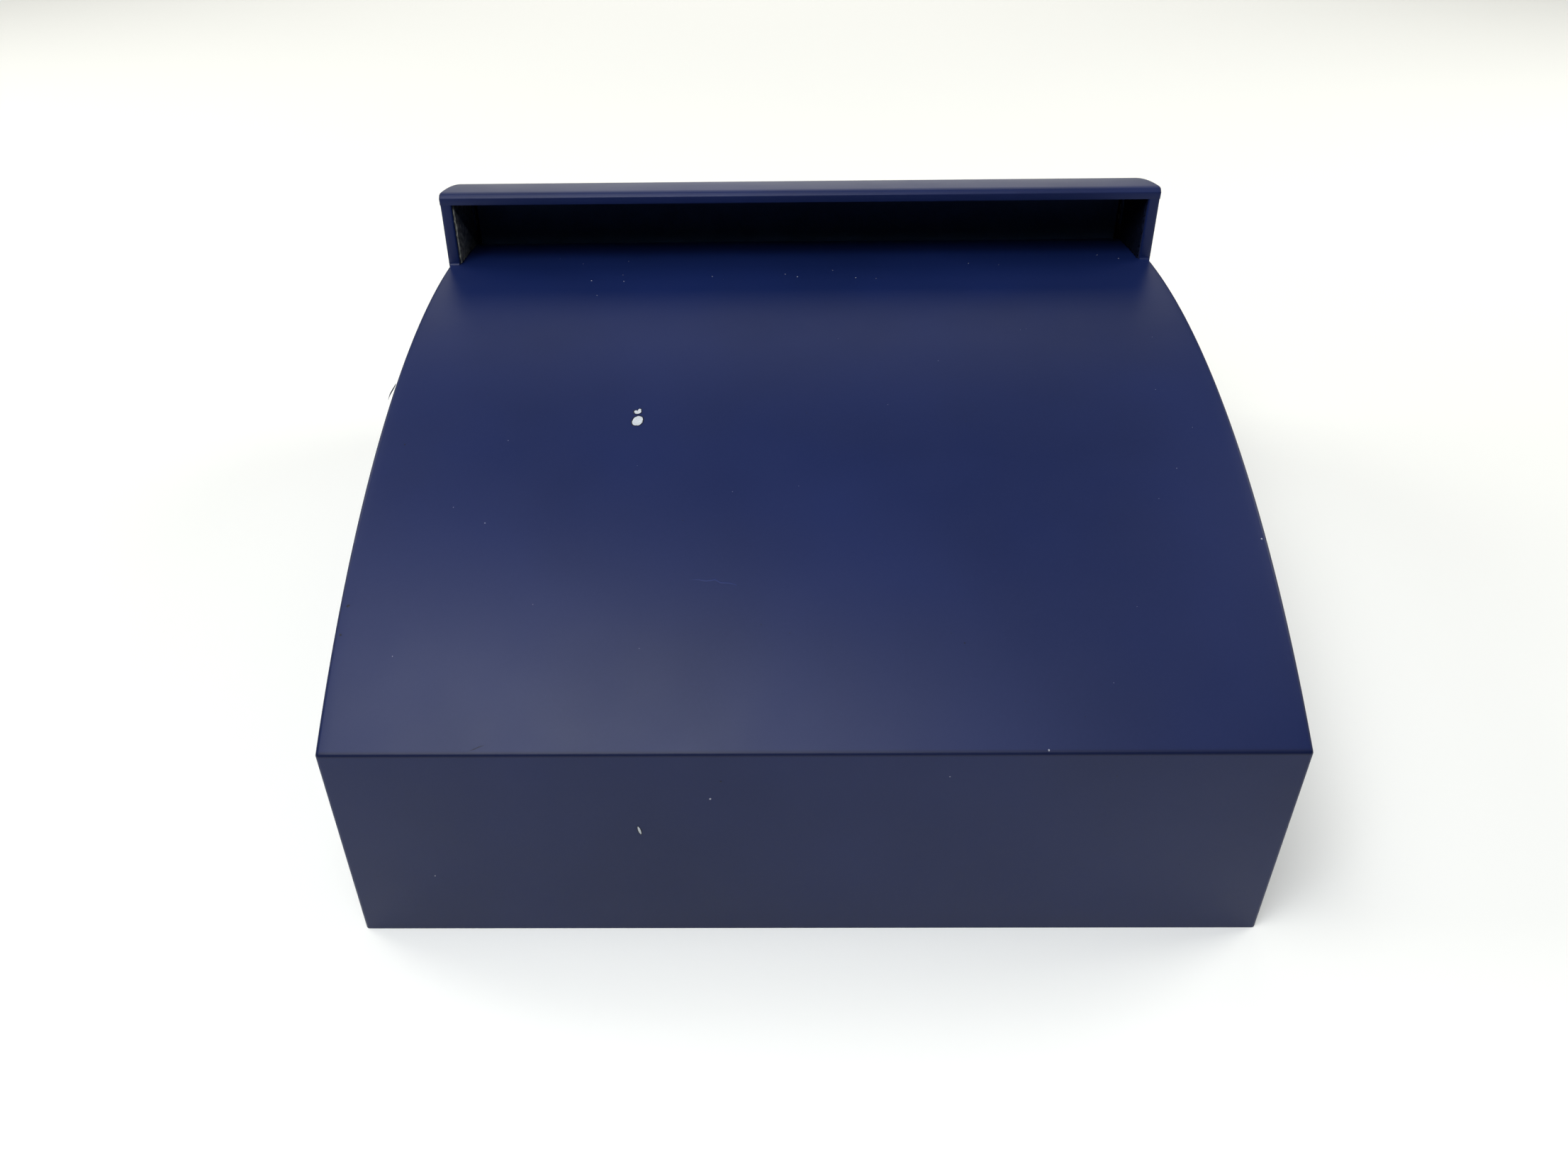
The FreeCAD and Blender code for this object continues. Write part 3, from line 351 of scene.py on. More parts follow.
LACQUER = make_lacquer()
# Dark copy of the lacquer: round the chips' lips its darkness is painted shadow
DARK_LACQUER = make_lacquer("dark_lacquer", 0.18)
SCUFFED = make_lacquer("scuffed_lacquer", 1.7)
PRIMER = make_primer("bare_primer", (0.42, 0.45, 0.47), (0.60, 0.63, 0.63))
DUST = make_primer("pale_dust", (0.30, 0.31, 0.36), (0.45, 0.46, 0.50))
BOARD = make_board()
PINE = {axis: make_timber(axis) for axis in "xyz"}
# Both linings get painted light below the lip's shadow edge; the right one only a little
LINING = {"left": make_lining("grey_lining", GREY_LINING, (2.6, 2.5, 2.4)),
          # The right lining is a darker copy: navy overspray and painted shade
          "right": make_lining("shaded_oversprayed_lining", NAVY_SHADED_LINING, (1.2, 1.2, 1.2))}
FLAP_SKIN = make_rubber("flap_coating", 0.0012, (0.026, 0.058, 0.125), (0.034, 0.072, 0.150))
MAT_RUBBER = make_rubber("mat_rubber", 0.0016, (0.012, 0.012, 0.013), (0.024, 0.024, 0.026))
SOFT_RUBBER = make_rubber("soft_rubber", 0.0010, (0.010, 0.010, 0.011), (0.018, 0.018, 0.019))
STEEL = make_metal("zinc_steel", (0.62, 0.63, 0.65), 0.34, "z")
CHROME = make_metal("lock_chrome", (0.70, 0.70, 0.71), 0.18)
KNOB_METAL = make_metal("satin_nickel", (0.63, 0.61, 0.57), 0.28)


# ---------------------------------------------------------------- mesh helpers

def piece(name, mesh, material, body, smooth_angle=30.0, raw=None):
    """Object from a bmesh, smooth up to an angle, riding on its body.

    Faces for which raw(face) is true are left as bare board.
    """
    data = bpy.data.meshes.new(name)
    bmesh.ops.recalc_face_normals(mesh, faces=mesh.faces)
    limit = math.radians(smooth_angle)
    mesh.normal_update()
    for face in mesh.faces:
        face.smooth = True
        if raw and raw(face):
            face.material_index = 1
    for edge in mesh.edges:
        edge.smooth = len(edge.link_faces) == 2 and edge.calc_face_angle(0.0) < limit
    mesh.to_mesh(data)
    mesh.free()
    data.materials.append(material)
    if raw:
        data.materials.append(BOARD)
    made = bpy.data.objects.new(name, data)
    bpy.context.scene.collection.objects.link(made)
    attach(made, body)
    return made


def sheet_between(upper, lower, columns, solid):
    """Closed bmesh between two matching curves of (y, z), across columns of x.

    solid(station, column) tells which cells of the sheet are there.
    """
    mesh = bmesh.new()
    cells = [(i, j) for i in range(len(upper) - 1) for j in range(len(columns) - 1) if solid(i, j)]
    there = set(cells)
    found = {}

    def corner(level, i, j):
        key = (level, i, j)
        if key not in found:
            y, z = (upper, lower)[level][i]
            found[key] = mesh.verts.new((columns[j], y, z))
        return found[key]

    for i, j in cells:
        ring = [(i, j), (i + 1, j), (i + 1, j + 1), (i, j + 1)]
        mesh.faces.new([corner(0, *where) for where in ring])
        mesh.faces.new([corner(1, *where) for where in reversed(ring)])
        for step, first, second in (((-1, 0), 0, 3), ((1, 0), 2, 1), ((0, -1), 1, 0), ((0, 1), 3, 2)):
            if (i + step[0], j + step[1]) not in there:
                first, second = ring[first], ring[second]
                mesh.faces.new([corner(0, *first), corner(0, *second),
                                corner(1, *second), corner(1, *first)])
    return mesh


def prism(outline, low, high):
    """Closed bmesh of an outline in (y, z) that runs from x low to x high."""
    mesh = bmesh.new()
    sides = [[mesh.verts.new((x, y, z)) for y, z in outline] for x in (low, high)]
    mesh.faces.new(sides[0])
    mesh.faces.new(reversed(sides[1]))
    for index in range(len(outline)):
        after = (index + 1) % len(outline)
        mesh.faces.new([sides[0][index], sides[1][index], sides[1][after], sides[0][after]])
    return mesh


def soften(mesh, radius, chosen, segments=5):
    """Round the sharp edges for which chosen(middle, direction) is true."""
    bmesh.ops.recalc_face_normals(mesh, faces=mesh.faces)
    mesh.normal_update()
    edges = []
    for edge in mesh.edges:
        first, last = (vertex.co for vertex in edge.verts)
        if edge.calc_face_angle(0.0) > SHARP:
            if chosen((first + last) / 2, (last - first).normalized()):
                edges.append(edge)
    bmesh.ops.bevel(mesh, geom=edges, offset=radius, offset_type="OFFSET", segments=segments,
                    profile=0.5, affect="EDGES", clamp_overlap=True)


def at(value, wanted):
    """Whether a coordinate is the wanted one, to a hundredth of a millimetre."""
    return abs(value - wanted) < 0.01 * MM


def stations(low, high):
    """Values from low to high, close enough for a smooth bend."""
    return spread(low, high, 2 + int((high - low) / BEND_STEP))


# ---------------------------------------------------------------- carcass skins

def arris_arc():
    """(y, z) points of the rounded front arris, from the front face round to the deck."""
    tilt = math.asin((DECK_CENTRE_Y - FRONT) / DECK_RADIUS)
    reach = ARRIS_ROUND * math.tan((math.pi / 2 - tilt) / 2)
    centre_y, centre_z = FRONT + ARRIS_ROUND, ARRIS_HEIGHT - reach
    return [(centre_y + ARRIS_ROUND * math.cos(angle), centre_z + ARRIS_ROUND * math.sin(angle))
            for angle in spread(math.pi, math.pi / 2 + tilt, 13)]


def make_deck():
    """Bent deck: full width as far as the hood, then between the cheeks."""
    arc = arris_arc()
    rounded = arc[len(arc) // 2:]
    ahead = [y for y in stations(FRONT, HOOD) if y > rounded[-1][0] + MM]
    behind = stations(HOOD, DECK_END)[1:]
    upper = rounded + [(y, deck_z(y)) for y in ahead + behind]
    slant = SHEET / (HOOD - FRONT)
    starts = [y for y, z in rounded] + ahead
    below = [y + (HOOD - y) * slant for y in starts] + behind
    below[0] = FRONT + SHEET
    lower = [(y, deck_z(y, SHEET)) for y in below]
    full = len(starts) - 1
    mesh = sheet_between(upper, lower, [-HALF, -INNER, INNER, HALF], lambda i, j: j == 1 or i < full)
    soften(mesh, ARRIS_ROUND, lambda middle, along: at(abs(middle.x), HALF) and abs(along.x) < 0.1
           and middle.z > deck_z(middle.y) - 0.6 * MM and middle.y < HOOD, 6)
    made = piece("deck_skin", mesh, LACQUER, "cabinet", raw=lambda face: face.normal.z < -0.5)
    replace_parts(made, "curved_deck")


def make_front():
    """Upright front sheet, mitred to the deck under one rounded arris."""
    arc = arris_arc()
    rounded = arc[:len(arc) // 2 + 1]
    inner = FRONT + SHEET
    outline = [(inner, 0), (FRONT, 0)] + rounded + [(inner, deck_z(inner, SHEET))]
    mesh = prism(outline, -HALF, HALF)
    soften(mesh, ARRIS_ROUND, lambda middle, along: at(abs(middle.x), HALF) and abs(along.x) < 0.1
           and middle.y < FRONT + ARRIS_ROUND / 2 and middle.z > MM, 6)
    soften(mesh, EDGE_ROUND, lambda middle, along: at(middle.z, 0) and middle.y < FRONT + MM, 4)
    made = piece("front_skin", mesh, LACQUER, "cabinet", raw=lambda face: face.normal.y > 0.9)
    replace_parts(made, "front_panel")


def make_sides():
    """Side sheets, which stand up behind the deck as the hood's cheeks."""
    foot = FRONT + SHEET
    deck = [(y, deck_z(y, SHEET)) for y in stations(foot, HOOD)]
    bend = ROOF_CREST + (ROOF_RADIUS - SHEET) * math.sin(ROOF_PITCH)
    roof = [(y, roof_z(y, SHEET)) for y in stations(HOOD, bend)]
    outline = [(foot, 0)] + deck + roof + [(REAR, roof_z(REAR, SHEET)), (REAR, 0)]
    for side, sign in (("left", -1), ("right", 1)):
        mesh = prism(outline, *sorted((sign * INNER, sign * HALF)))
        soften(mesh, ARRIS_ROUND, lambda middle, along: at(middle.x, sign * HALF)
               and at(middle.y, HOOD) and abs(along.z) > 0.9, 6)
        soften(mesh, EDGE_ROUND, lambda middle, along: (at(middle.x, sign * INNER)
               and at(middle.y, HOOD) and abs(along.z) > 0.9)
               or (at(middle.x, sign * HALF) and (at(middle.y, REAR) or at(middle.z, 0))), 4)
        made = piece(f"side_skin_{side}", mesh, LACQUER, "cabinet",
                     raw=lambda face: sign * face.normal.x < -0.95)
        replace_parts(made, f"side_panel_{side}")


def make_roof():
    """Bent roof over the cheeks: two facets along its lip, and both sides rounded."""
    bends = [ROOF_CREST + radius * math.sin(ROOF_PITCH) for radius in (ROOF_RADIUS, ROOF_RADIUS - SHEET)]
    nose = HOOD + NOSE_BACK
    outline = [(HOOD, roof_z(HOOD) - LIP_DROP), (nose, roof_z(nose) - NOSE_DROP)]
    outline += [(y, roof_z(y)) for y in stations(HOOD + BROW_BACK, bends[0])] + [(REAR, roof_z(REAR))]
    outline += [(REAR, roof_z(REAR, SHEET))]
    outline += [(y, roof_z(y, SHEET)) for y in reversed(stations(HOOD, bends[1]))]
    mesh = prism(outline, -HALF, HALF)
    soften(mesh, LIP_ROUND, lambda middle, along: abs(along.x) > 0.9 and middle.y < nose + MM
           and middle.z > SLOT_TOP + MM, 3)
    soften(mesh, ARRIS_ROUND, lambda middle, along: at(abs(middle.x), HALF) and middle.y < REAR - MM
           and (middle.z > roof_z(middle.y, SHEET / 2) or at(middle.y, HOOD)), 6)
    soften(mesh, LIP_ROUND, lambda middle, along: at(middle.y, HOOD) and abs(along.x) > 0.9
           and middle.z < SLOT_TOP + MM, 4)
    made = piece("roof_skin", mesh, LACQUER, "cabinet", 20, lambda face: face.normal.z < -0.9)
    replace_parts(made, "hood_roof")


def make_post_beads():
    """Bead of lacquer in the corner where each post stands on the deck."""
    height = 2.4 * MM
    inner, outer = INNER + 0.5 * MM, HALF - 1.1 * MM
    base = deck_z(HOOD)
    for side, sign in (("left", -1), ("right", 1)):
        hollow = [(HOOD - height * (1 - math.sin(angle)), base + height * (1 - math.cos(angle)))
                  for angle in spread(0, math.pi / 2, 7)]
        outline = [(HOOD + EDGE_ROUND, base - EDGE_ROUND), (HOOD - height, base - EDGE_ROUND)]
        outline += hollow + [(HOOD + EDGE_ROUND, base + height)]
        mesh = prism(outline, *sorted((sign * inner, sign * outer)))
        piece(f"post_bead_{side}", mesh, LACQUER, "cabinet", 50)


def make_door():
    """Rear door sheet with softly rounded edges."""
    low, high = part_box("door_panel")
    mesh = prism([(low.y, low.z), (high.y, low.z), (high.y, high.z), (low.y, high.z)], low.x, high.x)
    soften(mesh, DOOR_ROUND, lambda middle, along: True, 4)
    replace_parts(piece("door_skin", mesh, LACQUER, "door"), "door_panel")


make_deck()
make_front()
make_sides()
make_roof()
make_post_beads()
make_door()


# ---------------------------------------------------------------- marks in the lacquer

def on_deck(x, y, lift=0.0):
    """Point on the deck, or so far above it."""
    across = y - DECK_CENTRE_Y
    up = deck_z(y) - DECK_CENTRE_Z
    scale = (DECK_RADIUS + lift) / DECK_RADIUS
    return Vector((x, DECK_CENTRE_Y + across * scale, DECK_CENTRE_Z + up * scale))


def on_front(x, z, lift=0.0):
    """Point on the front face, or so far in front of it."""
    return Vector((x, FRONT - lift, z))


def ring_points(place_on, centre, outline, scale, grow, lift):
    """Outline round a centre, scaled, grown outwards by a distance and lifted off the surface."""
    points = []
    for across, up in outline:
        reach = math.hypot(across, up)
        factor = scale + grow / reach
        points.append(place_on(centre[0] + across * factor, centre[1] + up * factor, lift))
    return points


def loft(mesh, rings, close_centre=None):
    """Skin matching rings one after another, and close the first onto a point."""
    made = [[mesh.verts.new(point) for point in ring] for ring in rings]
    for inner, outer in zip(made, made[1:]):
        for index in range(len(inner)):
            after = (index + 1) % len(inner)
            mesh.faces.new([inner[index], outer[index], outer[after], inner[after]])
    if close_centre is not None:
        middle = mesh.verts.new(close_centre)
        for index in range(len(made[0])):
            mesh.faces.new([middle, made[0][index], made[0][(index + 1) % len(made[0])]])


def wobbly(half_width, half_length, lean, wobble, seed, bite=0.0, count=64):
    """Outline of a chip: a leaning ellipse with a broken edge, and a bite out of its upper left."""
    dice = random.Random(seed)
    waves = [(harmonic, dice.uniform(0, math.tau), wobble * dice.uniform(0.5, 1.0) / harmonic ** 0.5)
             for harmonic in (3, 4, 5, 7, 9, 12, 17)]
    outline = []
    for step in range(count):
        angle = math.tau * step / count
        reach = 1 + sum(size * math.cos(harmonic * angle + phase) for harmonic, phase, size in waves)
        reach *= 1 - bite * max(0.0, math.cos(angle - math.radians(135))) ** 5
        across, up = half_width * reach * math.cos(angle), half_length * reach * math.sin(angle)
        outline.append((across * math.cos(lean) + up * math.sin(lean),
                        up * math.cos(lean) - across * math.sin(lean)))
    return outline


def make_chip(name, place_on, centre, outline):
    """Chip down to the primer: a flat pale floor inside a lip of broken lacquer, coloured dark as painted
    shadow.
    """
    coat = 0.04 * MM
    floor = bmesh.new()
    rings = [ring_points(place_on, centre, outline, share, 0, coat) for share in (0.35, 0.7, 1.0)]
    rings.append(ring_points(place_on, centre, outline, 1.0, 0.06 * MM, -0.1 * MM))
    loft(floor, rings, place_on(*centre, coat))
    piece(f"{name}_floor", floor, PRIMER, "cabinet", 60)
    # The lip's section, from the chip outwards: distance outside its outline, and off the surface
    section = in_mm((0.02, -0.1), (0.0, 0.08), (0.15, 0.18), (0.45, 0.18), (0.85, 0.04), (0.9, -0.1))
    lip = bmesh.new()
    loft(lip, [ring_points(place_on, centre, outline, 1.0, grow, lift) for grow, lift in section])
    # The lip's dark lacquer is painted shadow round the chip
    piece(f"{name}_lip", lip, DARK_LACQUER, "cabinet", 60)


def make_specks(name, material, spots, lift):
    """Tiny flat grains in the lacquer, a little proud of it, each (surface, place, half size)."""
    mesh = bmesh.new()
    for number, (place_on, centre, half_size) in enumerate(spots):
        outline = wobbly(half_size, half_size * 1.2, number, 0.12, number, count=12)
        rings = [ring_points(place_on, centre, outline, share, 0, height)
                 for share, height in ((0.6, lift), (1.0, 0.3 * lift), (1.05, -0.05 * MM))]
        loft(mesh, rings, place_on(*centre, lift))
    piece(name, mesh, material, "cabinet", 80)


def make_scratch(name, material, place_on, route, half_width):
    """Hairline scratch that tapers out at both ends."""
    mesh = bmesh.new()
    rows = []
    for index, (x, y) in enumerate(route):
        before, after = route[max(index - 1, 0)], route[min(index + 1, len(route) - 1)]
        run = Vector((after[0] - before[0], after[1] - before[1])).normalized()
        share = index / (len(route) - 1)
        half = half_width * (0.15 + math.sin(math.pi * share))
        rows.append([mesh.verts.new(place_on(x - run.y * side * half, y + run.x * side * half, lift * MM))
                     for side, lift in ((-1, -0.03), (-0.5, 0.04), (0.5, 0.04), (1, -0.03))])
    for row, following in zip(rows, rows[1:]):
        for index in range(3):
            mesh.faces.new([row[index], following[index], following[index + 1], row[index + 1]])
    piece(name, mesh, material, "cabinet", 80)


def make_flake():
    """Sliver of lacquer that has lifted off the deck's left edge and stands a little proud."""
    length, height, thickness, stand = 20 * MM, 1.3 * MM, 0.15 * MM, 1.5 * MM
    rear = -75.5 * MM
    mesh = bmesh.new()
    rows = []
    for share in spread(0, 1, 15):
        y = rear - length * share
        out = stand * math.sin(math.pi * share ** 1.4 * 0.62)
        middle = deck_z(y) - 0.9 * MM + out * 0.5
        tall = height * (0.25 + 0.75 * math.sin(math.pi * min(1.0, share * 1.15)) ** 0.6) / 2
        rows.append([mesh.verts.new((-HALF - out + thick, y, middle + side * tall))
                     for side, thick in ((-1, 0), (1, 0), (1, thickness), (-1, thickness))])
    for row, following in zip(rows, rows[1:]):
        for index in range(4):
            after = (index + 1) % 4
            mesh.faces.new([row[index], following[index], following[after], row[after]])
    mesh.faces.new(rows[0])
    mesh.faces.new(reversed(rows[-1]))
    piece("lifted_flake", mesh, LACQUER, "cabinet")


def make_marks():
    """Chips, specks and scratches where the box has been knocked."""
    make_chip("deck_chip", on_deck, (-0.1204, -0.1210),
              wobbly(3.7 * MM, 5.1 * MM, math.radians(16), 0.045, 3))
    make_chip("deck_chip_small", on_deck, (-0.1209, -0.1106),
              wobbly(2.5 * MM, 3.0 * MM, math.radians(20), 0.06, 8, 0.85))
    make_chip("front_chip", on_front, (-0.1096, 0.0976),
              wobbly(0.8 * MM, 3.6 * MM, math.radians(-12), 0.03, 5, count=28))
    dice = random.Random(21)
    pale = [(on_deck, (0.1443, -0.3655), 0.5 * MM), (on_front, (-0.0632, 0.1261), 0.6 * MM),
            (on_deck, (-0.2177, -0.2144), 0.35 * MM), (on_deck, (0.3010, -0.2302), 0.5 * MM),
            (on_front, (-0.2483, 0.0543), 0.4 * MM), (on_front, (0.0855, 0.1450), 0.3 * MM)]
    pale += [(on_deck, (dice.uniform(-0.28, 0.28), dice.uniform(0.085, 0.15)),
              dice.uniform(0.2, 0.45) * MM) for _ in range(16)]
    pale += [(on_deck, (dice.uniform(-0.28, 0.28), dice.uniform(-0.35, 0.09)),
              dice.uniform(0.12, 0.25) * MM) for _ in range(22)]
    make_specks("dust_specks", DUST, pale, 0.12 * MM)
    dark = [(on_front, (-0.0561, 0.1415), 0.6 * MM), (on_deck, (-0.2990, -0.2756), 0.9 * MM),
            (on_deck, (-0.2848, -0.1436), 0.6 * MM), (on_deck, (0.0982, -0.3020), 0.5 * MM),
            (on_deck, (-0.0126, -0.2951), 0.35 * MM), (on_deck, (-0.3005, -0.2950), 0.7 * MM)]
    dark += [(on_deck, (dice.uniform(-0.29, 0.29), dice.uniform(-0.35, 0.08)),
              dice.uniform(0.15, 0.35) * MM) for _ in range(30)]
    dark += [(on_front, (dice.uniform(-0.29, 0.29), dice.uniform(0.01, 0.15)),
              dice.uniform(0.15, 0.3) * MM) for _ in range(18)]
    # Dark specks: tiny raised grains of the dark lacquer
    make_specks("dark_specks", DARK_LACQUER, dark, 0.05 * MM)
    make_scratch("deck_scratch", SCUFFED, on_deck,
                 in_mm((-78, -258.5), (-72, -258.3), (-67, -259.4), (-61, -258.4), (-57.5, -260.6),
                       (-52, -260.9), (-47.5, -262), (-46.9, -263.6)), 0.35 * MM)
    make_scratch("arris_scratch", DARK_LACQUER, on_deck,
                 in_mm((-210, -365), (-207, -364), (-204, -362.7), (-200.5, -361.6)), 0.3 * MM)
    make_flake()


make_marks()


# ---------------------------------------------------------------- throat, mat and screws

def make_liners():
    """Rough lining on the cheeks, torn along its front edge."""
    torn_range, frayed_range, rough_range = in_mm((-1.4, 0.6), (-0.3, 1.0), (-0.25, 0.25))
    for side, sign in (("left", -1), ("right", 1)):
        low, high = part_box(f"throat_liner_{side}")
        outer = sign * INNER
        dice = random.Random(7 + sign)
        mesh = bmesh.new()
        ys, shares = spread(low.y, high.y, 40), spread(0.0, 1.0, 34)
        torn = [dice.uniform(*torn_range) for _ in shares]
        for depth in (0, 1):
            grid = []
            for row, share in enumerate(shares):
                line = []
                for column, y in enumerate(ys):
                    if column == 0:
                        y += torn[row]
                    foot, head = deck_z(y) + LINING_GAP, roof_z(y, SHEET) - LINING_GAP
                    z = foot + (head - foot) * share
                    if row == 0:
                        z += dice.uniform(*frayed_range)
                    rough = dice.uniform(*rough_range) if depth else 0
                    inward = depth * LINING_THICKNESS + rough
                    line.append(mesh.verts.new((outer - sign * inward, y, z)))
                grid.append(line)
            for row in range(len(shares) - 1):
                for column in range(len(ys) - 1):
                    mesh.faces.new([grid[row][column], grid[row][column + 1],
                                    grid[row + 1][column + 1], grid[row + 1][column]])
            if depth:
                border = ring_of(grid)
                for index in range(len(border)):
                    after = (index + 1) % len(border)
                    mesh.faces.new([back[index], back[after], border[after], border[index]])
            else:
                back = ring_of(grid)
        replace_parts(piece(f"rough_lining_{side}", mesh, LINING[side], "cabinet", 80),
                    f"throat_liner_{side}")


def ring_of(grid):
    """Border of a grid of vertices, in order."""
    return (grid[0] + [row[-1] for row in grid[1:]] + grid[-1][-2::-1]
            + [row[0] for row in grid[-2:0:-1]])


def make_mat():
    """Ribbed rubber landing mat."""
    low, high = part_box("landing_mat")
    pitch, rise, margin = 7 * MM, 1.8 * MM, 3 * MM
    half_rib = 0.36 * pitch
    ribs = int((high.y - low.y - 2 * margin) / pitch)
    start = (low.y + high.y - ribs * pitch) / 2
    outline = [(low.y, low.z), (high.y, low.z), (high.y, high.z - rise)]
    for rib in reversed(range(ribs)):
        centre = start + (rib + 0.5) * pitch
        outline += [(centre + half_rib * math.cos(angle), high.z - rise + rise * math.sin(angle))
                    for angle in spread(0, math.pi, 7)]
    outline.append((low.y, high.z - rise))
    mesh = prism(outline, low.x, high.x)
    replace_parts(piece("ribbed_mat", mesh, MAT_RUBBER, "cabinet", 40), "landing_mat")


def solids_of(node):
    """(lowest corner, highest corner) of each separate solid in a CAD node."""
    data = NODES[node].data
    parent = {}

    def root(key):
        while parent[key] != key:
            parent[key] = parent[parent[key]]
            key = parent[key]
        return key

    keys = [tuple(round(part, 6) for part in vertex.co) for vertex in data.vertices]
    for key in keys:
        parent[key] = key
    for polygon in data.polygons:
        first = root(keys[polygon.vertices[0]])
        for index in polygon.vertices[1:]:
            parent[root(keys[index])] = first
    groups = {}
    for key in parent:
        groups.setdefault(root(key), []).append(key)
    corners = [(Vector(map(min, zip(*group))), Vector(map(max, zip(*group))))
               for group in groups.values()]
    return sorted(corners, key=lambda pair: tuple(pair[0]))


def cross_outline(reach, arm, turn):
    """Outline of a cross recess."""
    points = []
    for quarter in range(4):
        angle = turn + quarter * math.pi / 2
        for along, across in ((reach, -arm), (reach, arm), (arm, arm)):
            points.append((along * math.cos(angle) - across * math.sin(angle),
                           along * math.sin(angle) + across * math.cos(angle)))
    return points


def screw_mesh(mesh, head, direction, radius, shank, cone, length, turn):
    """Countersunk screw with a cross recess: head is the middle of its face."""
    turned = Vector((0, 0, 1)).rotation_difference(direction).to_matrix().to_4x4()
    to_place = Matrix.Translation(head) @ turned

    def ring(points, depth):
        return [mesh.verts.new(to_place @ Vector((x, y, depth))) for x, y in points]

    def circle(size, count=24):
        return [(size * math.cos(math.tau * step / count), size * math.sin(math.tau * step / count))
                for step in range(count)]

    def join(first, second):
        for index in range(len(first)):
            after = (index + 1) % len(first)
            mesh.faces.new([first[index], second[index], second[after], first[after]])

    # Radius and depth of the worn rim, the head's widest part, the shank's start, its taper and its tip
    profile = ((radius * 0.93, 0), (radius, 0.12 * MM), (shank, cone), (shank * 0.9, length * 0.85),
               (shank * 0.2, length))
    body = [ring(circle(size), depth) for size, depth in profile]
    rim = body[0]
    for first, second in zip(body, body[1:]):
        join(first, second)
    mesh.faces.new(body[-1])
    # Reach and half width of the recess's arms, as shares of the head's radius, and its depth
    recess = ((0.55, 0.13, 0), (0.40, 0.08, cone * 0.6))
    mouth, floor = (ring(cross_outline(radius * reach, radius * arm, turn), depth)
                    for reach, arm, depth in recess)
    join(mouth, floor)
    mesh.faces.new(floor)
    edges = [mesh.edges.get((loop[index], loop[(index + 1) % len(loop)]))
             for loop in (rim, mouth) for index in range(len(loop))]
    bmesh.ops.triangle_fill(mesh, use_beauty=True, use_dissolve=False, edges=edges)


def make_screws():
    """Screws with cross recesses in place of the plain ones, each turned its own way.

    Each row is a node, its body, the way its screws point (outwards if None), and in millimetres
    the head's radius, the shank's radius and the height of the head's cone.
    """
    dice = random.Random(4)
    for node, body, direction, radius, shank, cone in (
            ("base_screws", "cabinet", (0, 0, 1), 3.4, 1.6, 2.2),
            ("hinge_jamb_screws", "cabinet", (-1, 0, 0), 2.4, 1.1, 1.1),
            ("hinge_door_screws", "door", (0, -1, 0), 2.4, 1.1, 1.1),
            ("strike_screws", "cabinet", (0, 1, 0), 2.4, 1.1, 1.1),
            ("flap_bracket_screws", "cabinet", None, 2.5, 1.2, 1.5)):
        mesh = bmesh.new()
        for low, high in solids_of(node):
            middle = (low + high) / 2
            towards = Vector(direction or (math.copysign(1, middle.x), 0, 0))
            length = (high - low).dot(Vector(map(abs, towards)))
            head = middle - towards * length / 2
            screw_mesh(mesh, head, towards, radius * MM, shank * MM, cone * MM, length,
                       dice.uniform(0, math.pi / 2))
        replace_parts(piece(f"{node}_cross", mesh, STEEL, body, 35), node)


make_liners()
make_mat()
make_screws()


# ---------------------------------------------------------------- finishes of the CAD nodes

FINISHES = {
    LACQUER: ["rear_header"],
    BOARD: ["base_panel"],
    PINE["x"]: ["base_batten_front", "throat_rail"],
    PINE["y"]: ["base_batten_left", "base_batten_right", "deck_cleat_left", "deck_cleat_right",
                "deck_rib_center", "roof_cleat_left", "roof_cleat_right"],
    PINE["z"]: ["corner_batten_left", "corner_batten_right", "door_stop_batten"],
    FLAP_SKIN: ["return_flap", "flap_bracket_left", "flap_bracket_right"],
    SOFT_RUBBER: ["flap_stop_strip", "door_bumpers"],
    STEEL: ["flap_rod", "hinge_pin", "hinge_jamb_leaf", "hinge_door_leaf", "strike_plate", "lock_cam",
            "lock_nut", "lock_cam_screw", "door_knob_screw"],
    CHROME: ["lock_housing", "lock_plug"],
    KNOB_METAL: ["door_knob"],
}
for finish, names in FINISHES.items():
    for name in names:
        NODES[name].data.materials.clear()
        NODES[name].data.materials.append(finish)


# ---------------------------------------------------------------- floor, light and camera

def make_floor():
    """Plain pale floor, like lit paper: it glows a little towards the front and the rear."""
    made, tree, shader = new_material("pale_floor", Roughness=0.9, Specular_IOR_Level=0.1,
                                      Emission_Strength=1.0)
    cloud = grain(tree, place(tree), 1.5, 2.0)
    tree.links.new(ramp(tree, cloud, *zip((0.3, 0.7), PAPER)), shader.inputs["Base Color"])
    along = parts_of(tree, place(tree))["Y"]
    sweep = to_range(tree, along, 0.0, 1.0, -0.8, 1.4)
    dim, front, under, rear = (0.03,) * 3, (0.12, 0.12, 0.115), (0.05,) * 3, (0.13, 0.13, 0.125)
    glow = ramp(tree, sweep, (0.0, dim), (0.05, front), (0.16, front), (0.20, under), (0.50, dim),
                (0.82, rear))
    tree.links.new(glow, shader.inputs["Emission Color"])
    bpy.ops.mesh.primitive_plane_add(size=16)
    floor = bpy.context.object
    floor.name = "floor"
    floor.data.materials.append(made)


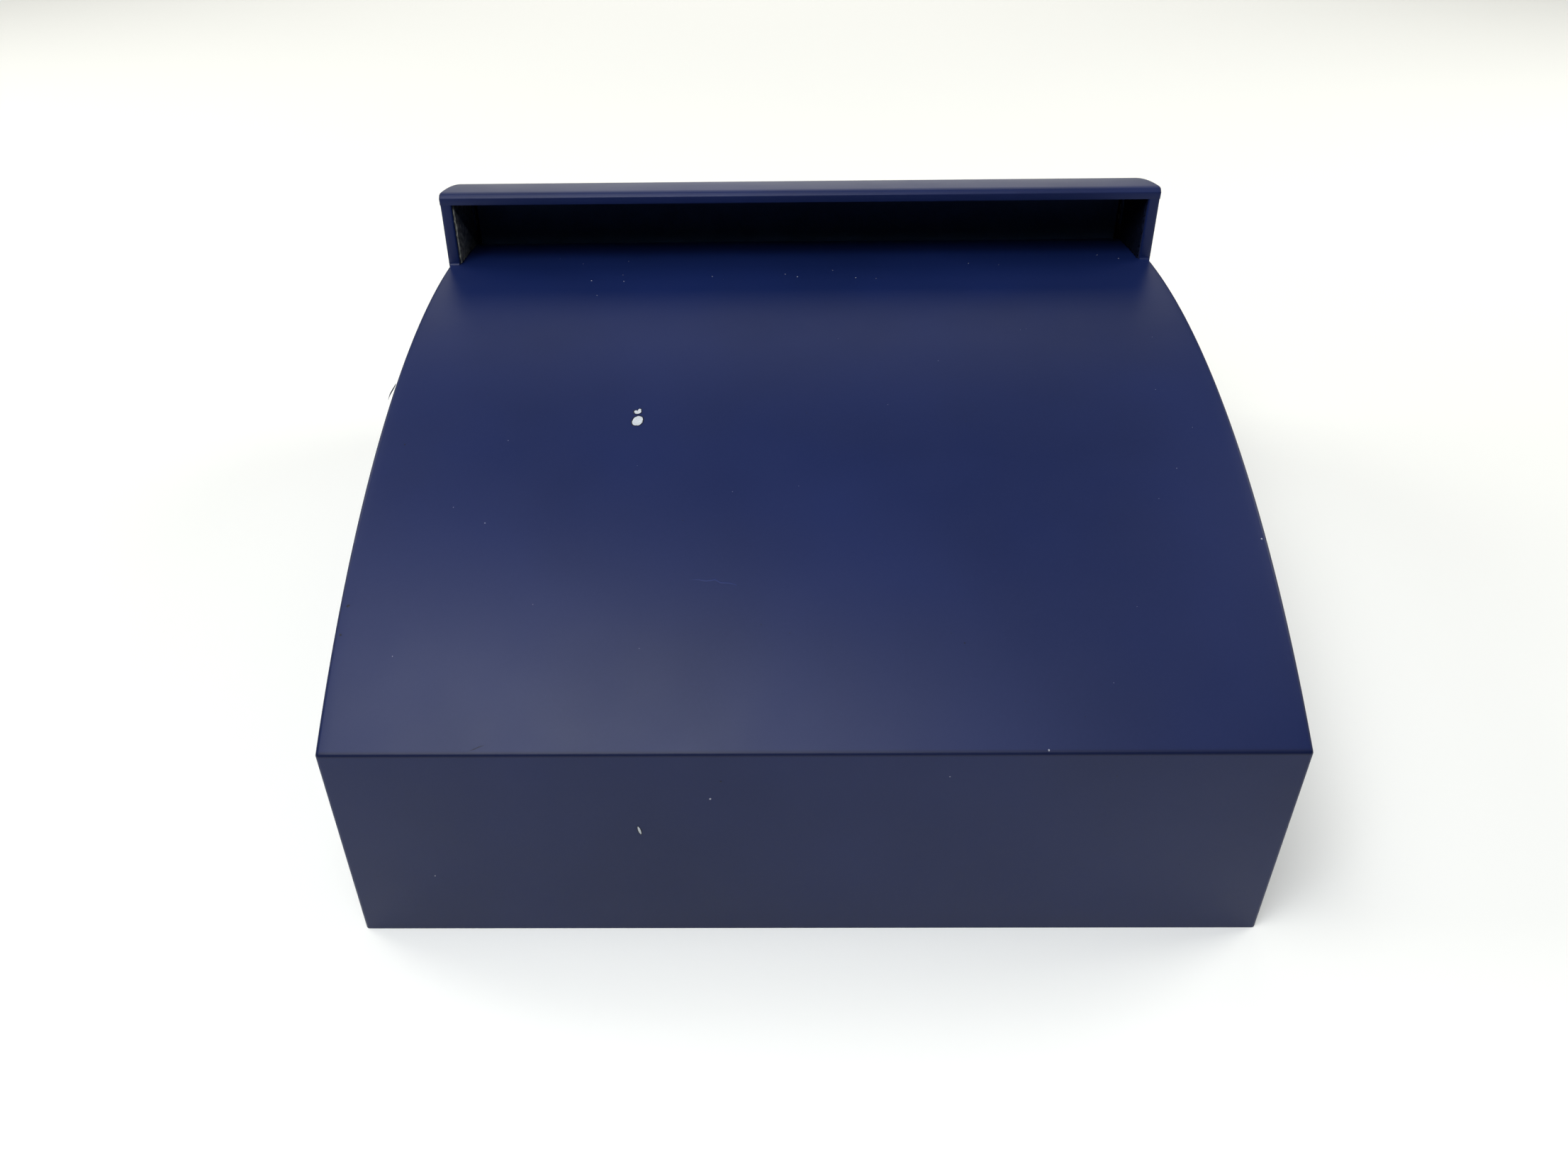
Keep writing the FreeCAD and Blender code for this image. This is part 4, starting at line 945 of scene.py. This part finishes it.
def make_light(name, place_at, target, size, brightness, tint=(1, 1, 1)):
    """Square white area light that faces a point: brightness is its radiance."""
    data = bpy.data.lights.new(name, "AREA")
    data.size = size
    data.energy = brightness * math.pi * size ** 2
    data.color = tint
    made = bpy.data.objects.new(name, data)
    bpy.context.scene.collection.objects.link(made)
    made.location = place_at
    made.rotation_euler = (Vector(target) - Vector(place_at)).to_track_quat("-Z", "Y").to_euler()


def make_world():
    """Dim room whose front wall is a little lighter."""
    world = bpy.data.worlds.new("room")
    bpy.context.scene.world = world
    world.use_nodes = True
    tree = world.node_tree
    background = tree.nodes["Background"]
    direction = add(tree, "ShaderNodeTexCoord").outputs["Generated"]
    frontal = parts_of(tree, direction)["Y"]
    tree.links.new(to_range(tree, frontal, 0.05, 0.0, -1.0, 0.0), background.inputs["Strength"])


def make_camera():
    """Camera in front of the box, above it and looking down on it."""
    data = bpy.data.cameras.new("camera")
    data.sensor_width, data.lens = 36, 29.2
    data.shift_x = 0.0176
    data.clip_start, data.clip_end = 0.01, 50
    made = bpy.data.objects.new("camera", data)
    bpy.context.scene.collection.objects.link(made)
    down, turn, lean = (math.radians(angle) for angle in (36.6, -0.98, -0.87))
    look = Matrix(((1, 0, 0), (0, -math.sin(down), -math.cos(down)),
                   (0, math.cos(down), -math.sin(down))))
    right, below, ahead = Matrix.Rotation(lean, 3, "Z") @ look @ Matrix.Rotation(turn, 3, "Z")
    made.rotation_mode = "QUATERNION"
    made.rotation_quaternion = Matrix((right, -below, -ahead)).transposed().to_quaternion()
    made.location = (-0.0226, -0.9293, 0.7082)
    bpy.context.scene.camera = made


make_floor()
make_world()
# Each light's name, place, target, size, brightness and, where it isn't white, tint
for light in (("key", (-0.4, -1.2, 2.2), (0, 0, 0.1), 1.4, 6.1, (0.96, 1.0, 1.11)),
              ("top_left", (-0.7, -0.5, 2.2), (0, 0, 0.1), 1.0, 3.8),
              ("ceiling", (0.3, 0.6, 4.5), (0.3, 0.6, 0), 5.0, 0.2),
              ("left", (-2.4, 1.2, 1.8), (-1.2, 1.2, 0), 1.6, 3.8),
              ("right", (2.4, 0.8, 1.8), (1.0, 0.8, 0), 1.6, 4.4),
              ("rear", (0, 3.4, 1.2), (0, 2.0, 0), 3.0, 1.05)):
    make_light(*light)
make_camera()
bpy.context.scene.view_settings.view_transform = "Standard"
